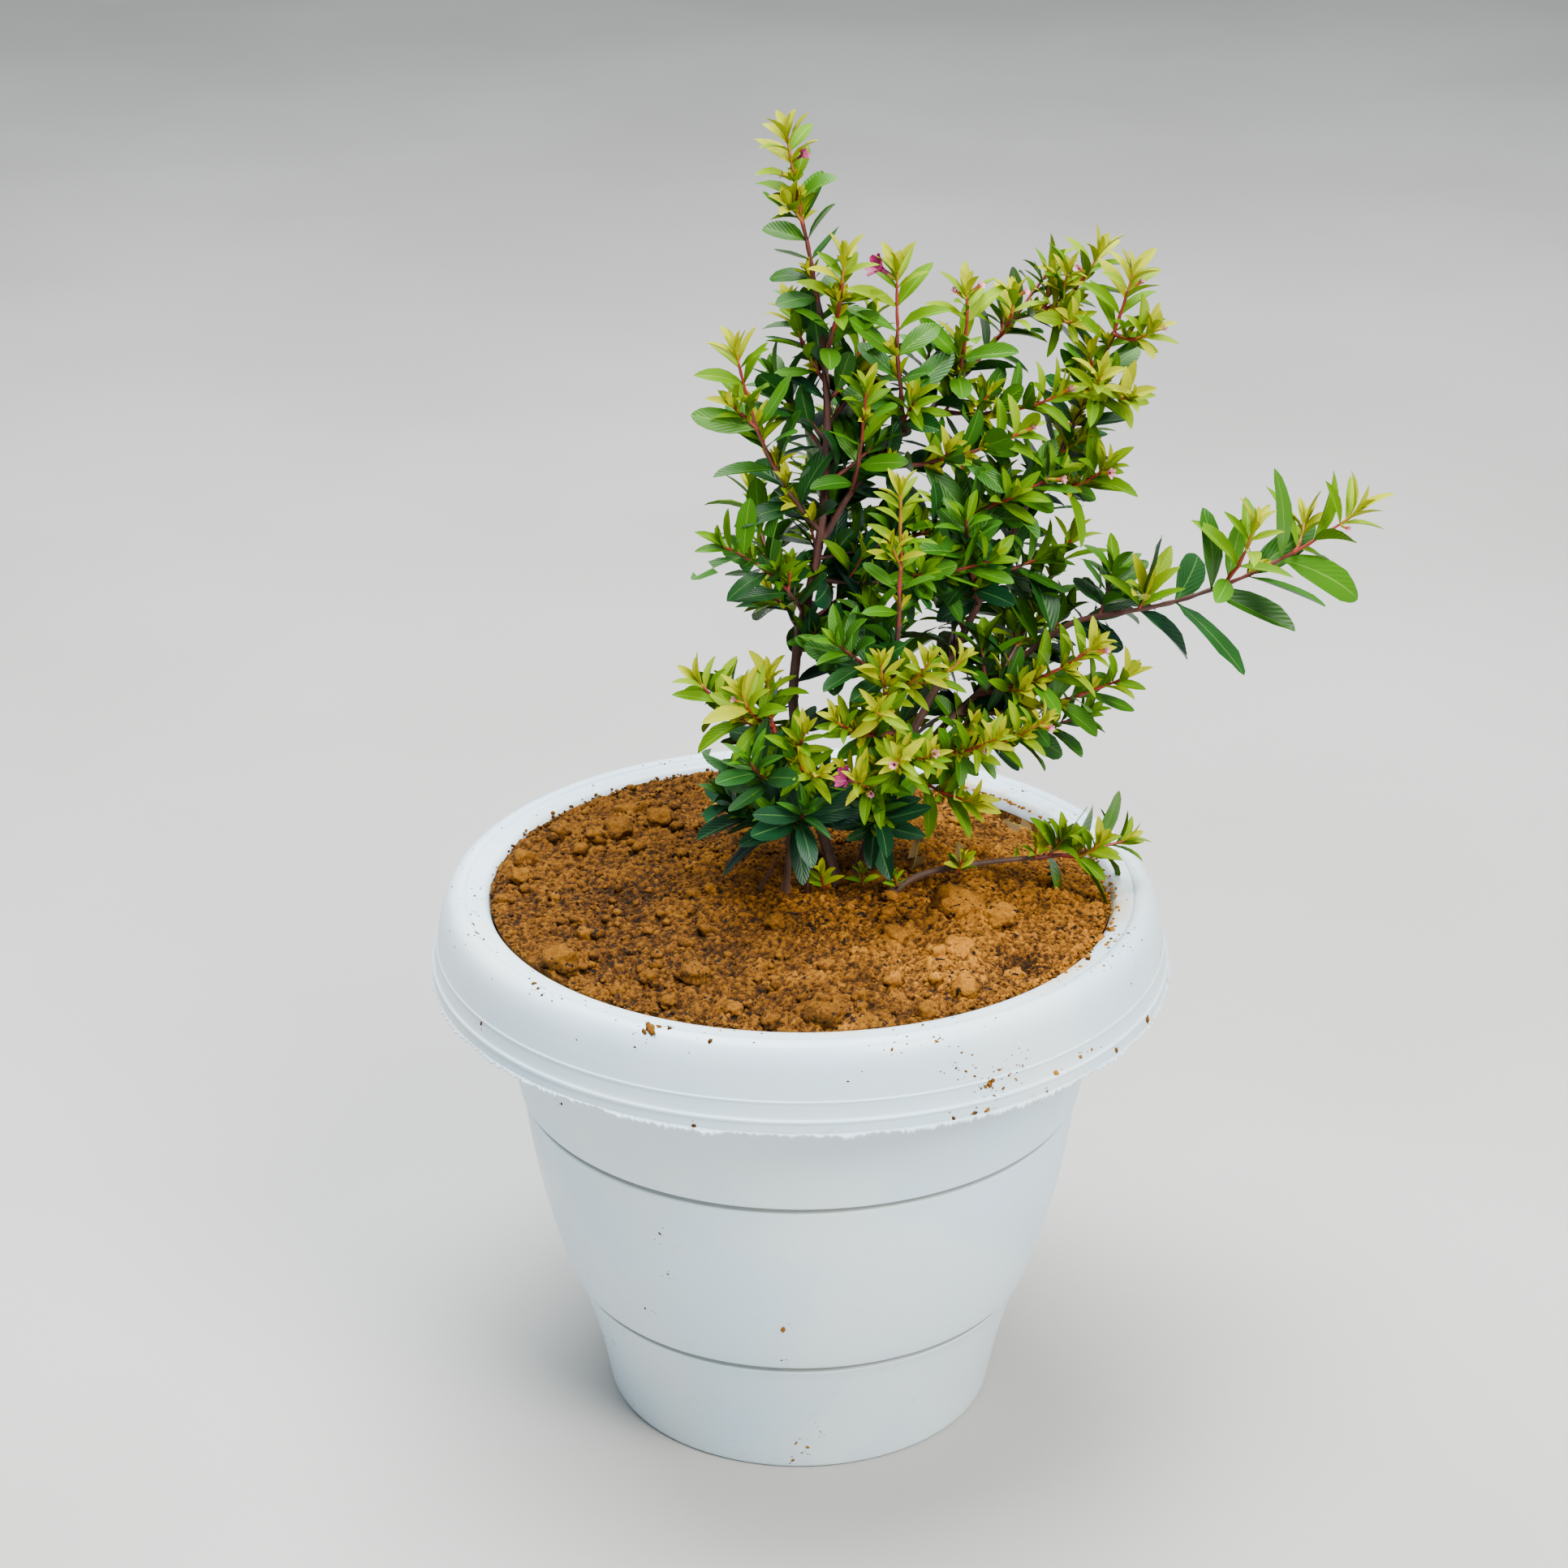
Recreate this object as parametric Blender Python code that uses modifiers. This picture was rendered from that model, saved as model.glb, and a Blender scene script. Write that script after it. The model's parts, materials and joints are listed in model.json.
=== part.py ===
"""Potted Mexican heather.

A round white plastic flower pot with a rolled rim and stepped bands, filled with
soil, and a small shrub in it: thin woody stems, leafy side shoots with narrow
opposite leaves, and a few small trumpet flowers. Metres, +Z up, with the origin at
the centre of the pot's flat underside.
"""

import math
import random
from dataclasses import dataclass

import bmesh
import bpy
from mathutils import Matrix, Quaternion, Vector
from mathutils.bvhtree import BVHTree

MM = 0.001
GAP = 0.3 * MM                   # clear space between neighbouring solids
SEED = 5200

# Pot
POT_HEIGHT = 160.0 * MM
RIM_RADIUS = 105.0 * MM          # outside of the hanging rim
LIP_RADIUS = 90.0 * MM           # inner edge of the rolled lip
FOOT_RADIUS = 56.5 * MM
FOOT_ROUND = 3.0 * MM
WALL = 1.6 * MM
FLOOR = 2.0 * MM
POT_STEPS = 36


@dataclass(frozen=True)
class Band:
    """One band of the pot's wall: its two edges and how far it swells between."""

    low: tuple[float, float]
    high: tuple[float, float]
    swell: float
    samples: int

    def radius(self, height: float) -> float:
        """Outer radius at a height inside the band, in millimetres."""
        share = (height - self.low[1]) / (self.high[1] - self.low[1])
        straight = self.low[0] + share * (self.high[0] - self.low[0])
        return straight + self.swell * 4.0 * share * (1.0 - share)

    def outline(self) -> list[tuple[float, float]]:
        """The band's (radius, height) points from its top edge to its lower edge."""
        step = (self.high[1] - self.low[1]) / self.samples
        heights = [self.high[1] - step * index for index in range(self.samples + 1)]
        return [(self.radius(height), height) for height in heights]


LOWER_BAND = Band((57.2, 4.0), (66.5, 39.6), -0.9, 3)
MIDDLE_BAND = Band((67.7, 40.4), (80.3, 98.7), 1.8, 4)
UPPER_BAND = Band((81.3, 99.7), (88.2, 146.0), 0.3, 2)

# Soil: a low mound with a level top where the stems come out
SOIL_RADIUS = 86.5 * MM
SOIL_EDGE = 157.3 * MM
SOIL_TOP = 163.2 * MM
MOUND_CENTRE = Vector((0.010, -0.010, 0.0))
MOUND_FLAT = 0.25                # share of the radius that is level
DIP_BEARING = math.radians(36.0)  # the soil has sunk at the back right
DIP_DEPTH = 7.0 * MM
DIP_SPREAD = math.radians(34.0)
SOIL_RINGS = 12
LUMPS_START = 23.0 * MM          # the level patch round the stems has no lumps
LUMPS_FULL = 34.0 * MM


@dataclass(frozen=True)
class Lump:
    """A lump of the soil, or a hollow: its place, its rise and its reach, in millimetres."""

    x: float
    y: float
    rise: float
    reach: float


LUMPS = (
    Lump(-49, 38, 4.6, 9.0),
    Lump(-68, 29, 2.2, 10.0),
    Lump(-76, 4, 1.6, 10.0),
    Lump(-66, -50, 2.0, 9.0),
    Lump(-30, -62, 1.4, 9.0),
    Lump(-50, -16, -1.6, 11.0),
    Lump(8, -74, 1.6, 11.0),
    Lump(42, -56, 2.4, 8.0),
    Lump(59, -50, -2.8, 7.0),
    Lump(48, -28, 3.0, 11.0),
    Lump(74, -18, 1.4, 9.0),
    Lump(-14, 66, 2.0, 12.0),
    Lump(22, 52, -1.4, 11.0),
    Lump(-26, 34, -1.2, 9.0),
)

# Leaves
LEAF_WIDTH = 0.50                # of its length
LEAF_THICKNESS = 0.045
LEAF_WAIST = 0.46                # where along it a leaf is widest
LEAF_GROWTH = 1.2                # fewer leaves than the plant's, so each is a little larger
NODE_PITCH = 9.0                 # millimetres between leaf pairs
FIRST_NODE = 5.0
LEAF_TRIES = ((1.0, 0.0), (0.9, 14.0), (0.9, -14.0), (0.72, 0.0), (0.72, 22.0), (0.6, -10.0))

# Unions: the first solver and welding distance that give a closed solid are kept
UNION_TRIES = (("EXACT", 0.001 * MM), ("MANIFOLD", 0.001 * MM), ("MANIFOLD", 0.0), ("EXACT", 0.004 * MM))

# Twigs
TWIG_ROOT = 0.95                 # millimetres, radius of the three-sided section
TWIG_TIP = 0.55


@dataclass(frozen=True)
class Limb:
    """A bare woody limb: its way points and its radii, in millimetres."""

    name: str
    parent: str
    leaves_at: float
    way: tuple[tuple[float, float, float], ...]
    root: float
    tip: float


LIMBS = (
    Limb("stem_main", "", 0.0, ((10, -6, 163.5), (-1, -8, 208), (-1, -7, 233), (5, -5, 264),
                                (7, -2, 297), (5, 0, 326)), 1.8, 0.9),
    Limb("stem_second", "", 0.0, ((16, -3, 163.5), (24, -6, 192), (43, 2, 230), (61, 8, 268)),
         1.5, 0.9),
    Limb("stem_left", "", 0.0, ((-4, -14, 163.5), (-3, -17, 189), (-7, -18, 213)), 1.15, 0.75),
    Limb("stem_low", "", 0.0, ((25, -17, 163.5), (34, -14, 168.5), (50, -10, 170), (66, -5, 169.5)),
         1.1, 0.7),
    Limb("bough_upper", "stem_main", 0.635, ((13, -2, 276), (23, 2, 288)), 0.95, 0.8),
    Limb("bough_right", "stem_second", 0.296, ((43, -4, 213), (59, -2, 227)), 1.15, 0.9),
    Limb("bough_far", "bough_right", 1.0, ((74, -5, 240), (88, -8, 244.5)), 0.9, 0.8),
    Limb("bough_front", "stem_second", 0.218, ((25, -18, 207), (25, -23, 228), (26, -25, 247)),
         0.95, 0.7),
)


@dataclass(frozen=True)
class Shoot:
    """A leafy shoot. Its parent is a limb, or the shoot that it is fused to."""

    name: str
    parent: str
    leaves_at: float             # share of the parent's length
    tip: tuple[float, float, float]
    leaf: float                  # length of its full-grown leaves
    sag: float = 2.0             # how far it bows outward and down


SHOOTS = (
    # the leader and the top of the main stem
    Shoot("leader", "stem_main", 1.0, (-4, 4, 373), 13, 1.5),
    Shoot("crest", "stem_main", 0.93, (11, -9, 343), 12),
    Shoot("crest_left", "stem_main", 0.89, (-3, 8, 326), 10),
    Shoot("crest_back", "stem_main", 0.86, (19, 13, 321), 13, 3.0),
    Shoot("collar_left", "stem_main", 0.80, (-7, 7, 306), 18, 1.0),
    Shoot("collar_right", "stem_main", 0.75, (17, 16, 300), 16, 3.0),
    # the left side
    Shoot("left_high", "stem_main", 0.65, (-17, -16, 320), 16, 4.0),
    Shoot("left_mid", "stem_main", 0.51, (-21, -15, 266), 15, -2.5),
    Shoot("left_low", "stem_left", 1.0, (-9, -15, 228), 14),
    Shoot("left_low_b", "left_low", 0.12, (-16, -24, 227), 13, 2.0),
    Shoot("left_low_c", "left_low", 0.02, (-28, -8, 224), 14, 2.5),
    Shoot("left_front", "stem_left", 0.72, (-14, -31, 210), 16),
    Shoot("skirt_left", "stem_left", 0.42, (-21, -14, 192), 19, 1.0),
    Shoot("skirt_front", "stem_left", 0.50, (1, -36, 197), 18, 1.0),
    Shoot("front_a", "stem_left", 0.86, (1, -32, 219), 14),
    Shoot("front_b", "front_a", 0.25, (5, -38, 209), 13),
    # the upper bough and its fan of shoots
    Shoot("crown_upper", "bough_upper", 1.0, (68, 28, 331), 14, 7.0),
    Shoot("upper_a", "crown_upper", 0.10, (25, -6, 339), 16, 3.0),
    Shoot("upper_e", "crown_upper", 0.24, (69, -2, 304), 14, 3.0),
    Shoot("upper_b", "crown_upper", 0.38, (44, 6, 330), 15, 3.0),
    Shoot("upper_c", "crown_upper", 0.62, (57, 13, 327), 12),
    Shoot("upper_d", "crown_upper", 0.74, (80, 19, 337), 14, 4.0),
    Shoot("upper_f", "upper_d", 0.35, (73, 6, 322), 12),
    Shoot("mid_up", "bough_upper", 0.50, (17, -11, 308), 14),
    Shoot("mid_a", "bough_upper", 0.78, (59, -9, 296), 15, 2.5),
    Shoot("mid_b", "stem_main", 0.605, (69, -5, 283), 16, 3.0),
    Shoot("mid_c", "stem_main", 0.57, (51, -18, 263), 16, 3.0),
    Shoot("mid_d", "stem_second", 0.76, (44, -14, 273), 16, 2.5),
    Shoot("mid_e", "crown_upper", 0.16, (35, 15, 313), 14),
    Shoot("inner", "stem_main", 0.45, (19, -19, 244), 15),
    # the right side
    Shoot("crown_right", "stem_second", 1.0, (88, 6, 335), 14, 5.0),
    Shoot("right_e", "crown_right", 0.12, (82, -3, 284), 16, 2.5),
    Shoot("right_f", "crown_right", 0.50, (79, -7, 311), 12),
    Shoot("right_g", "crown_right", 0.58, (87, -8, 305), 12),
    Shoot("right_h", "crown_right", 0.76, (93, -2, 322), 11),
    Shoot("right_a", "bough_right", 0.90, (75, 12, 259), 15, 2.5),
    Shoot("far", "bough_far", 1.0, (147, -18, 276), 22, 4.5),
    Shoot("far_b", "far", 0.40, (120, -22, 274), 18, 1.5),
    Shoot("far_c", "far", 0.72, (136, -5, 269), 16),
    Shoot("right_b", "bough_right", 0.72, (79, -18, 238), 14),
    Shoot("right_c", "bough_right", 0.56, (89, -14, 228), 14, 3.0),
    Shoot("right_d", "bough_right", 0.40, (80, 5, 209), 15, 3.0),
    # the low front
    Shoot("front_star", "bough_front", 1.0, (26, -26, 285), 12, 1.0),
    Shoot("front_c", "bough_front", 0.62, (21, -35, 240), 12),
    Shoot("front_d", "front_c", 0.20, (20, -42, 229), 12),
    Shoot("front_e", "bough_front", 0.74, (34, -34, 240), 12),
    Shoot("front_e2", "front_e", 0.25, (43, -27, 238), 12),
    Shoot("front_f", "bough_front", 0.38, (35, -39, 215), 12, 1.0),
    Shoot("front_g", "front_f", 0.30, (26, -45, 217), 12),
    Shoot("front_h", "bough_front", 0.24, (15, -42, 209), 13),
    Shoot("front_i", "bough_front", 0.50, (9, -36, 224), 13),
    Shoot("front_right", "bough_right", 0.28, (53, -31, 217), 13),
    Shoot("front_right2", "front_right", 0.30, (66, -24, 219), 13),
    Shoot("front_low", "bough_right", 0.14, (47, -19, 193), 14),
    Shoot("skirt_mid", "stem_second", 0.17, (22, -27, 194), 16, 1.0),
    Shoot("skirt_back", "stem_main", 0.12, (7, 13, 185), 15, 1.0),
    Shoot("low_tip", "stem_low", 1.0, (92, 3, 171), 15, 1.0),
    Shoot("low_tip2", "low_tip", 0.30, (84, -7, 175), 10),
    # the back
    Shoot("back_a", "stem_main", 0.48, (-14, 32, 266), 16, 4.0),
    Shoot("back_b", "stem_main", 0.60, (9, 42, 282), 16, 5.0),
    Shoot("back_low_a", "stem_main", 0.26, (-20, 27, 207), 17, 2.5),
    Shoot("back_c", "stem_second", 0.62, (46, 46, 271), 16, 5.0),
    Shoot("back_d", "stem_second", 0.86, (78, 38, 292), 15, 4.5),
    Shoot("back_low_b", "stem_second", 0.34, (28, 42, 221), 16, 3.5),
    Shoot("back_low_c", "bough_right", 0.50, (68, 32, 224), 16, 3.5),
)


@dataclass(frozen=True)
class Bloom:
    """A trumpet flower: the shoot it sits on, where, and the way it points."""

    shoot: str
    leaves_at: float
    facing: tuple[float, float, float]


BLOOMS = (
    Bloom("upper_a", 0.95, (-0.9, -0.5, 0.5)),
    Bloom("front_h", 0.80, (-0.9, -0.4, 0.5)),
    Bloom("mid_a", 0.96, (0.8, -0.5, 0.6)),
    Bloom("right_e", 0.90, (0.3, -0.9, 0.1)),
    Bloom("right_b", 0.94, (0.8, -0.4, 0.1)),
)
BLOOM_LENGTH = 7.0
BLOOM_MOUTH = 2.8


@dataclass
class Axis:
    """A computed centre line with its radii, in metres."""

    points: list[Vector]
    radii: list[float]

    def length(self) -> float:
        """Length along the centre line."""
        return sum((b - a).length for a, b in zip(self.points, self.points[1:]))

    def at(self, share: float) -> tuple[Vector, Vector, float]:
        """Point, direction and radius at a share of the length."""
        left = max(0.0, min(1.0, share)) * self.length()
        for index, (a, b) in enumerate(zip(self.points, self.points[1:])):
            step = (b - a).length
            if left <= step or index == len(self.points) - 2:
                part = min(1.0, left / step)
                radius = self.radii[index] + part * (self.radii[index + 1] - self.radii[index])
                return a.lerp(b, part), (b - a).normalized(), radius
            left -= step
        raise ValueError("an axis needs two points")


def metres(point: tuple[float, float, float]) -> Vector:
    """A table's millimetres as a point in metres."""
    return Vector(point) * MM


def plain_material(name: str, colour: tuple[float, float, float], roughness: float) -> bpy.types.Material:
    """A Principled material with one colour."""
    material = bpy.data.materials.new(name)
    material.use_nodes = True
    shader = material.node_tree.nodes["Principled BSDF"]
    shader.inputs["Base Color"].default_value = (*colour, 1.0)
    shader.inputs["Roughness"].default_value = roughness
    shader.inputs["Metallic"].default_value = 0.0
    return material


def turned_object(name: str, profile: list[tuple[float, float]], home: bpy.types.Collection) -> bpy.types.Object:
    """A solid of revolution from (radius, height) points in millimetres, by a Screw modifier."""
    mesh = bpy.data.meshes.new(name)
    points = [(radius * MM, 0.0, height * MM) for radius, height in profile]
    mesh.from_pydata(points, [(i, i + 1) for i in range(len(points) - 1)], [])
    turned = bpy.data.objects.new(name, mesh)
    home.objects.link(turned)
    screw = turned.modifiers.new("Turn", "SCREW")
    screw.angle = math.tau
    screw.steps = screw.render_steps = POT_STEPS
    screw.use_merge_vertices = True
    screw.merge_threshold = 0.00001
    screw.use_smooth_shade = True
    return turned


def applied_mesh(source: bpy.types.Object, weld: float = 0.001 * MM) -> bpy.types.Mesh:
    """The object's evaluated mesh, with loose caps and seams welded."""
    graph = bpy.context.evaluated_depsgraph_get()
    mesh = bpy.data.meshes.new_from_object(source.evaluated_get(graph))
    shell = bmesh.new()
    shell.from_mesh(mesh)
    bmesh.ops.remove_doubles(shell, verts=shell.verts, dist=weld)
    shell.to_mesh(mesh)
    shell.free()
    return mesh


def inner_wall() -> list[tuple[float, float]]:
    """The pot's inner (radius, height) points from the floor up to the lip."""
    wall = WALL / MM
    points = [(LOWER_BAND.radius(6.0) - wall, 5.0), (LOWER_BAND.high[0] - wall, 40.0)]
    points += [(MIDDLE_BAND.radius(62.0) - wall, 62.0), (MIDDLE_BAND.high[0] - wall, 98.0)]
    points += [(UPPER_BAND.high[0] - wall + 0.3, 146.0), (87.4, 154.0)]
    return points


def build_pot(home: bpy.types.Collection) -> bpy.types.Object:
    """The pot: floor, banded wall and a rolled rim that hangs down outside, hollow below."""
    floor, top = FLOOR / MM, POT_HEIGHT / MM
    lip, rim, foot, rounding = LIP_RADIUS / MM, RIM_RADIUS / MM, FOOT_RADIUS / MM, FOOT_ROUND / MM
    inside = [(0.0, floor), (inner_wall()[0][0] - 2.0, floor), *inner_wall()]
    rolled = [(88.4, top - 2.4), (lip, top - 1.5), (95.0, top - 0.1), (98.0, top - 0.3),
              (101.2, top - 3.6), (102.6, top - 9.0), (103.7, top - 15.6), (rim + 0.1, top - 19.7)]
    hem = [(rim, top - 23.4), (rim - 1.9, top - 23.4), (rim - 3.4, top - 14.0),
           (rim - 4.8, top - 7.5), (rim - 8.5, top - 2.6), (lip + 0.8, top - 3.8)]
    wall = [*UPPER_BAND.outline(), *MIDDLE_BAND.outline(), *LOWER_BAND.outline()]
    base = [(foot, 1.2), (foot - rounding * 0.6, 0.0), (0.0, 0.0)]
    pot = turned_object("pot", [*inside, *rolled, *hem, *wall, *base], home)
    pot.data.materials.append(plain_material("white_plastic", (0.84, 0.87, 0.90), 0.32))
    return pot


def soil_sunk(place: Vector) -> float:
    """How far the soil has sunk below the mound's curve, at a place near the edge."""
    bearing = math.atan2(place.y, place.x) - DIP_BEARING
    bearing = (bearing + math.pi) % math.tau - math.pi
    share = min(1.0, place.to_2d().length / SOIL_RADIUS)
    return DIP_DEPTH * math.exp(-((bearing / DIP_SPREAD) ** 2)) * max(0.0, (share - 0.45) / 0.55) ** 1.5


def lump_rise(place: Vector) -> float:
    """How far the lumps and hollows raise the soil at a place."""
    away = (place - MOUND_CENTRE).to_2d().length
    share = min(1.0, max(0.0, (away - LUMPS_START) / (LUMPS_FULL - LUMPS_START)))
    rise = 0.0
    for lump in LUMPS:
        off = (place.to_2d() - Vector((lump.x, lump.y)) * MM).length / (lump.reach * MM)
        rise += lump.rise * MM * math.exp(-off * off)
    return rise * share


def build_soil(home: bpy.types.Collection) -> bpy.types.Object:
    """The soil: it fills the pot and rises in a low mound to a level patch at the stems."""
    clear = GAP / MM * 1.15
    edge, top, radius = SOIL_EDGE / MM, SOIL_TOP / MM, SOIL_RADIUS / MM
    mound = []
    for index in range(SOIL_RINGS + 1):
        share = MOUND_FLAT + (1.0 - MOUND_FLAT) * index / SOIL_RINGS
        fall = 0.5 + 0.5 * math.cos(math.pi * (share - MOUND_FLAT) / (1.0 - MOUND_FLAT))
        mound.append((radius * share, edge + (top - edge) * fall))
    side = [(r - clear, h) for r, h in reversed(inner_wall()) if h < 150.0]
    lowest = (side[-1][0] - 2.0, FLOOR / MM + clear)
    turned = turned_object("soil_turned", [(0.0, top), *mound, *side, lowest, (0.0, lowest[1])], home)
    mesh = applied_mesh(turned)
    bpy.data.objects.remove(turned)
    for vertex in mesh.vertices:
        if vertex.co.z < 0.150:
            continue
        share = vertex.co.to_2d().length / SOIL_RADIUS
        vertex.co += MOUND_CENTRE * max(0.0, 1.0 - share)
        vertex.co.z += lump_rise(vertex.co) - soil_sunk(vertex.co)
    mesh.materials.clear()
    mesh.materials.append(plain_material("soil", (0.36, 0.20, 0.09), 0.95))
    soil = bpy.data.objects.new("soil", mesh)
    home.objects.link(soil)
    return soil


def smooth_way(points: list[Vector], parts: int) -> list[Vector]:
    """A smooth line (Catmull-Rom) through way points."""
    ends = [points[0] * 2.0 - points[1], *points, points[-1] * 2.0 - points[-2]]
    line = []
    for a, b, c, d in zip(ends, ends[1:], ends[2:], ends[3:]):
        for index in range(parts):
            t = index / parts
            line.append(0.5 * (2.0 * b + (c - a) * t + (2.0 * a - 5.0 * b + 4.0 * c - d) * t * t
                               + (3.0 * b - a - 3.0 * c + d) * t * t * t))
    return [*line, points[-1].copy()]


def turned_off(way: Vector, parent_way: Vector, least: float) -> Vector:
    """A direction turned away from its parent's until it leaves at the least angle."""
    angle = way.angle(parent_way)
    if angle >= least:
        return way.normalized()
    hinge = parent_way.cross(way)
    if hinge.length < 1e-6:
        hinge = parent_way.orthogonal()
    return Quaternion(hinge.normalized(), least) @ parent_way.normalized()


def clear_start(parent: Axis, share: float, way: Vector, radius: float) -> Vector:
    """Where a limb or shoot begins so that its root just clears the parent's bark."""
    point, along, thick = parent.at(share)
    if share >= 1.0:
        return point + way.normalized() * GAP * 1.2
    angle = max(0.5, way.angle(along))
    reach = (thick + GAP * 1.2 + radius * abs(math.cos(angle))) / math.sin(angle)
    return point + way.normalized() * reach


def limb_axis(limb: Limb, axes: dict[str, Axis]) -> Axis:
    """The centre line and taper of a limb."""
    way = [metres(point) for point in limb.way]
    root, tip = limb.root * MM, limb.tip * MM
    if limb.parent:
        point, along, _ = axes[limb.parent].at(limb.leaves_at)
        heading = way[0] - point
        if limb.leaves_at >= 1.0:
            heading = along
        else:
            heading = turned_off(heading, along, math.radians(42.0))
        start = clear_start(axes[limb.parent], limb.leaves_at, heading, root)
        line = smooth_way([start, *way], 4)
        radii = [root + (tip - root) * i / (len(line) - 1) for i in range(len(line))]
        return Axis(line, radii)
    line = smooth_way(way, 3)
    line.insert(1, line[0] + Vector((0.0, 0.0, 1.2 * MM)))
    radii = [root + (tip - root) * i / (len(line) - 1) for i in range(len(line))]
    radii[0], radii[1] = root * 1.55, root * 1.25
    return Axis(line, radii)


def shoot_axis(shoot: Shoot, axes: dict[str, Axis], fused: bool) -> Axis:
    """The centre line of a leafy shoot: it leaves its parent outward and turns up."""
    parent = axes[shoot.parent]
    point, along, _ = parent.at(shoot.leaves_at)
    tip = metres(shoot.tip)
    chord = tip - point
    level = Vector((chord.x, chord.y, 0.0))
    level = level.normalized() if level.length > 1e-6 else Vector((1.0, 0.0, 0.0))
    climb = chord.z / chord.length
    outward = level * climb - Vector((0.0, 0.0, 1.0)) * math.sqrt(max(0.0, 1.0 - climb * climb))
    control = point + chord * 0.45 + outward * shoot.sag * 2.0 * MM
    heading = (control - point).normalized()
    if shoot.leaves_at >= 1.0:
        heading = (heading + along).normalized()
    else:
        heading = turned_off(heading, along, math.radians(38.0))
    control = point + heading * (control - point).length
    start = point if fused else clear_start(parent, shoot.leaves_at, heading, TWIG_ROOT * MM)
    count = max(2, round(chord.length / (13.0 * MM)))
    line = []
    for index in range(count + 1):
        t = index / count
        line.append(start * (1 - t) ** 2 + control * 2 * t * (1 - t) + tip * t * t)
    root = TWIG_ROOT * (0.8 if fused else 1.0)
    radii = [(root + (TWIG_TIP - root) * i / count) * MM for i in range(count + 1)]
    return Axis(line, radii)


def tube_mesh(name: str, axis: Axis, sides: int, home: bpy.types.Collection) -> bpy.types.Mesh:
    """A closed tapering tube along an axis, from a curve with a round section of few sides."""
    curve = bpy.data.curves.new(name, "CURVE")
    curve.dimensions = "3D"
    curve.use_fill_caps = True
    section = None
    if sides == 3:
        outline = bpy.data.curves.new(name + "_section", "CURVE")
        spline = outline.splines.new("POLY")
        spline.points.add(2)
        spline.use_cyclic_u = True
        for index, point in enumerate(spline.points):
            turn = math.tau * index / 3.0
            point.co = (MM * math.cos(turn), MM * math.sin(turn), 0.0, 1.0)
        section = bpy.data.objects.new(name + "_section", outline)
        home.objects.link(section)
        curve.bevel_mode = "OBJECT"
        curve.bevel_object = section
    else:
        curve.bevel_depth = MM
        curve.bevel_resolution = (sides - 4) // 2
    spline = curve.splines.new("POLY")
    spline.points.add(len(axis.points) - 1)
    for point, place, radius in zip(spline.points, axis.points, axis.radii):
        point.co = (*place, 1.0)
        point.radius = radius / MM
    tube = bpy.data.objects.new(name + "_line", curve)
    home.objects.link(tube)
    mesh = applied_mesh(tube)
    bpy.data.objects.remove(tube)
    if section:
        bpy.data.objects.remove(section)
    return outward_mesh(mesh)


def outward_mesh(mesh: bpy.types.Mesh) -> bpy.types.Mesh:
    """Turn every face of a closed mesh outward."""
    shell = bmesh.new()
    shell.from_mesh(mesh)
    bmesh.ops.recalc_face_normals(shell, faces=shell.faces)
    if shell.calc_volume(signed=True) < 0.0:
        bmesh.ops.reverse_faces(shell, faces=shell.faces)
    shell.to_mesh(mesh)
    shell.free()
    return mesh


def leaf_mesh(name: str, place: Matrix, length: float, grow: float = 0.0) -> bpy.types.Mesh:
    """A thin leaf with a ridge and a flat underside, from its root along the matrix's Z."""
    shell = bmesh.new()
    bmesh.ops.create_uvsphere(shell, u_segments=3, v_segments=2, radius=1.0)
    bmesh.ops.rotate(shell, verts=shell.verts, matrix=Matrix.Rotation(math.pi / 2.0, 3, "Z"))
    width = length * LEAF_WIDTH + grow * 2.0
    thick = length * LEAF_THICKNESS + grow * 2.0
    reach = length + grow * 2.0
    for vertex in shell.verts:
        vertex.co.x *= width * 0.5 / math.cos(math.pi / 6.0)
        vertex.co.y *= thick / 1.5
        waist = abs(vertex.co.z) < 0.5
        vertex.co.z = (LEAF_WAIST if waist else vertex.co.z * 0.5 + 0.5) * reach - grow
    shell.transform(place)
    mesh = bpy.data.meshes.new(name)
    shell.to_mesh(mesh)
    shell.free()
    return mesh


def bloom_mesh(name: str, place: Matrix) -> bpy.types.Mesh:
    """A six-sided trumpet that opens along the matrix's Z."""
    shell = bmesh.new()
    bmesh.ops.create_cone(shell, cap_ends=True, segments=6, radius1=0.5 * MM,
                          radius2=BLOOM_MOUTH * MM, depth=BLOOM_LENGTH * MM)
    bmesh.ops.translate(shell, verts=shell.verts, vec=(0.0, 0.0, BLOOM_LENGTH * MM * 0.5))
    shell.transform(place)
    mesh = bpy.data.meshes.new(name)
    shell.to_mesh(mesh)
    shell.free()
    return mesh


def leaf_place(root: Vector, along: Vector, side: Vector, angle: float) -> Matrix:
    """The frame of a leaf that stands off its stem by an angle, its face turned to the light."""
    grows = along * math.cos(angle) + side * math.sin(angle)
    face = along * math.sin(angle) - side * math.cos(angle)
    light = Vector((0.0, 0.0, 1.0)) - grows * grows.z
    face = (face + light * 0.5).normalized()
    face = (face - grows * face.dot(grows)).normalized()
    across = face.cross(grows)
    frame = Matrix((across, face, grows)).transposed().to_4x4()
    return Matrix.Translation(root) @ frame


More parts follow.
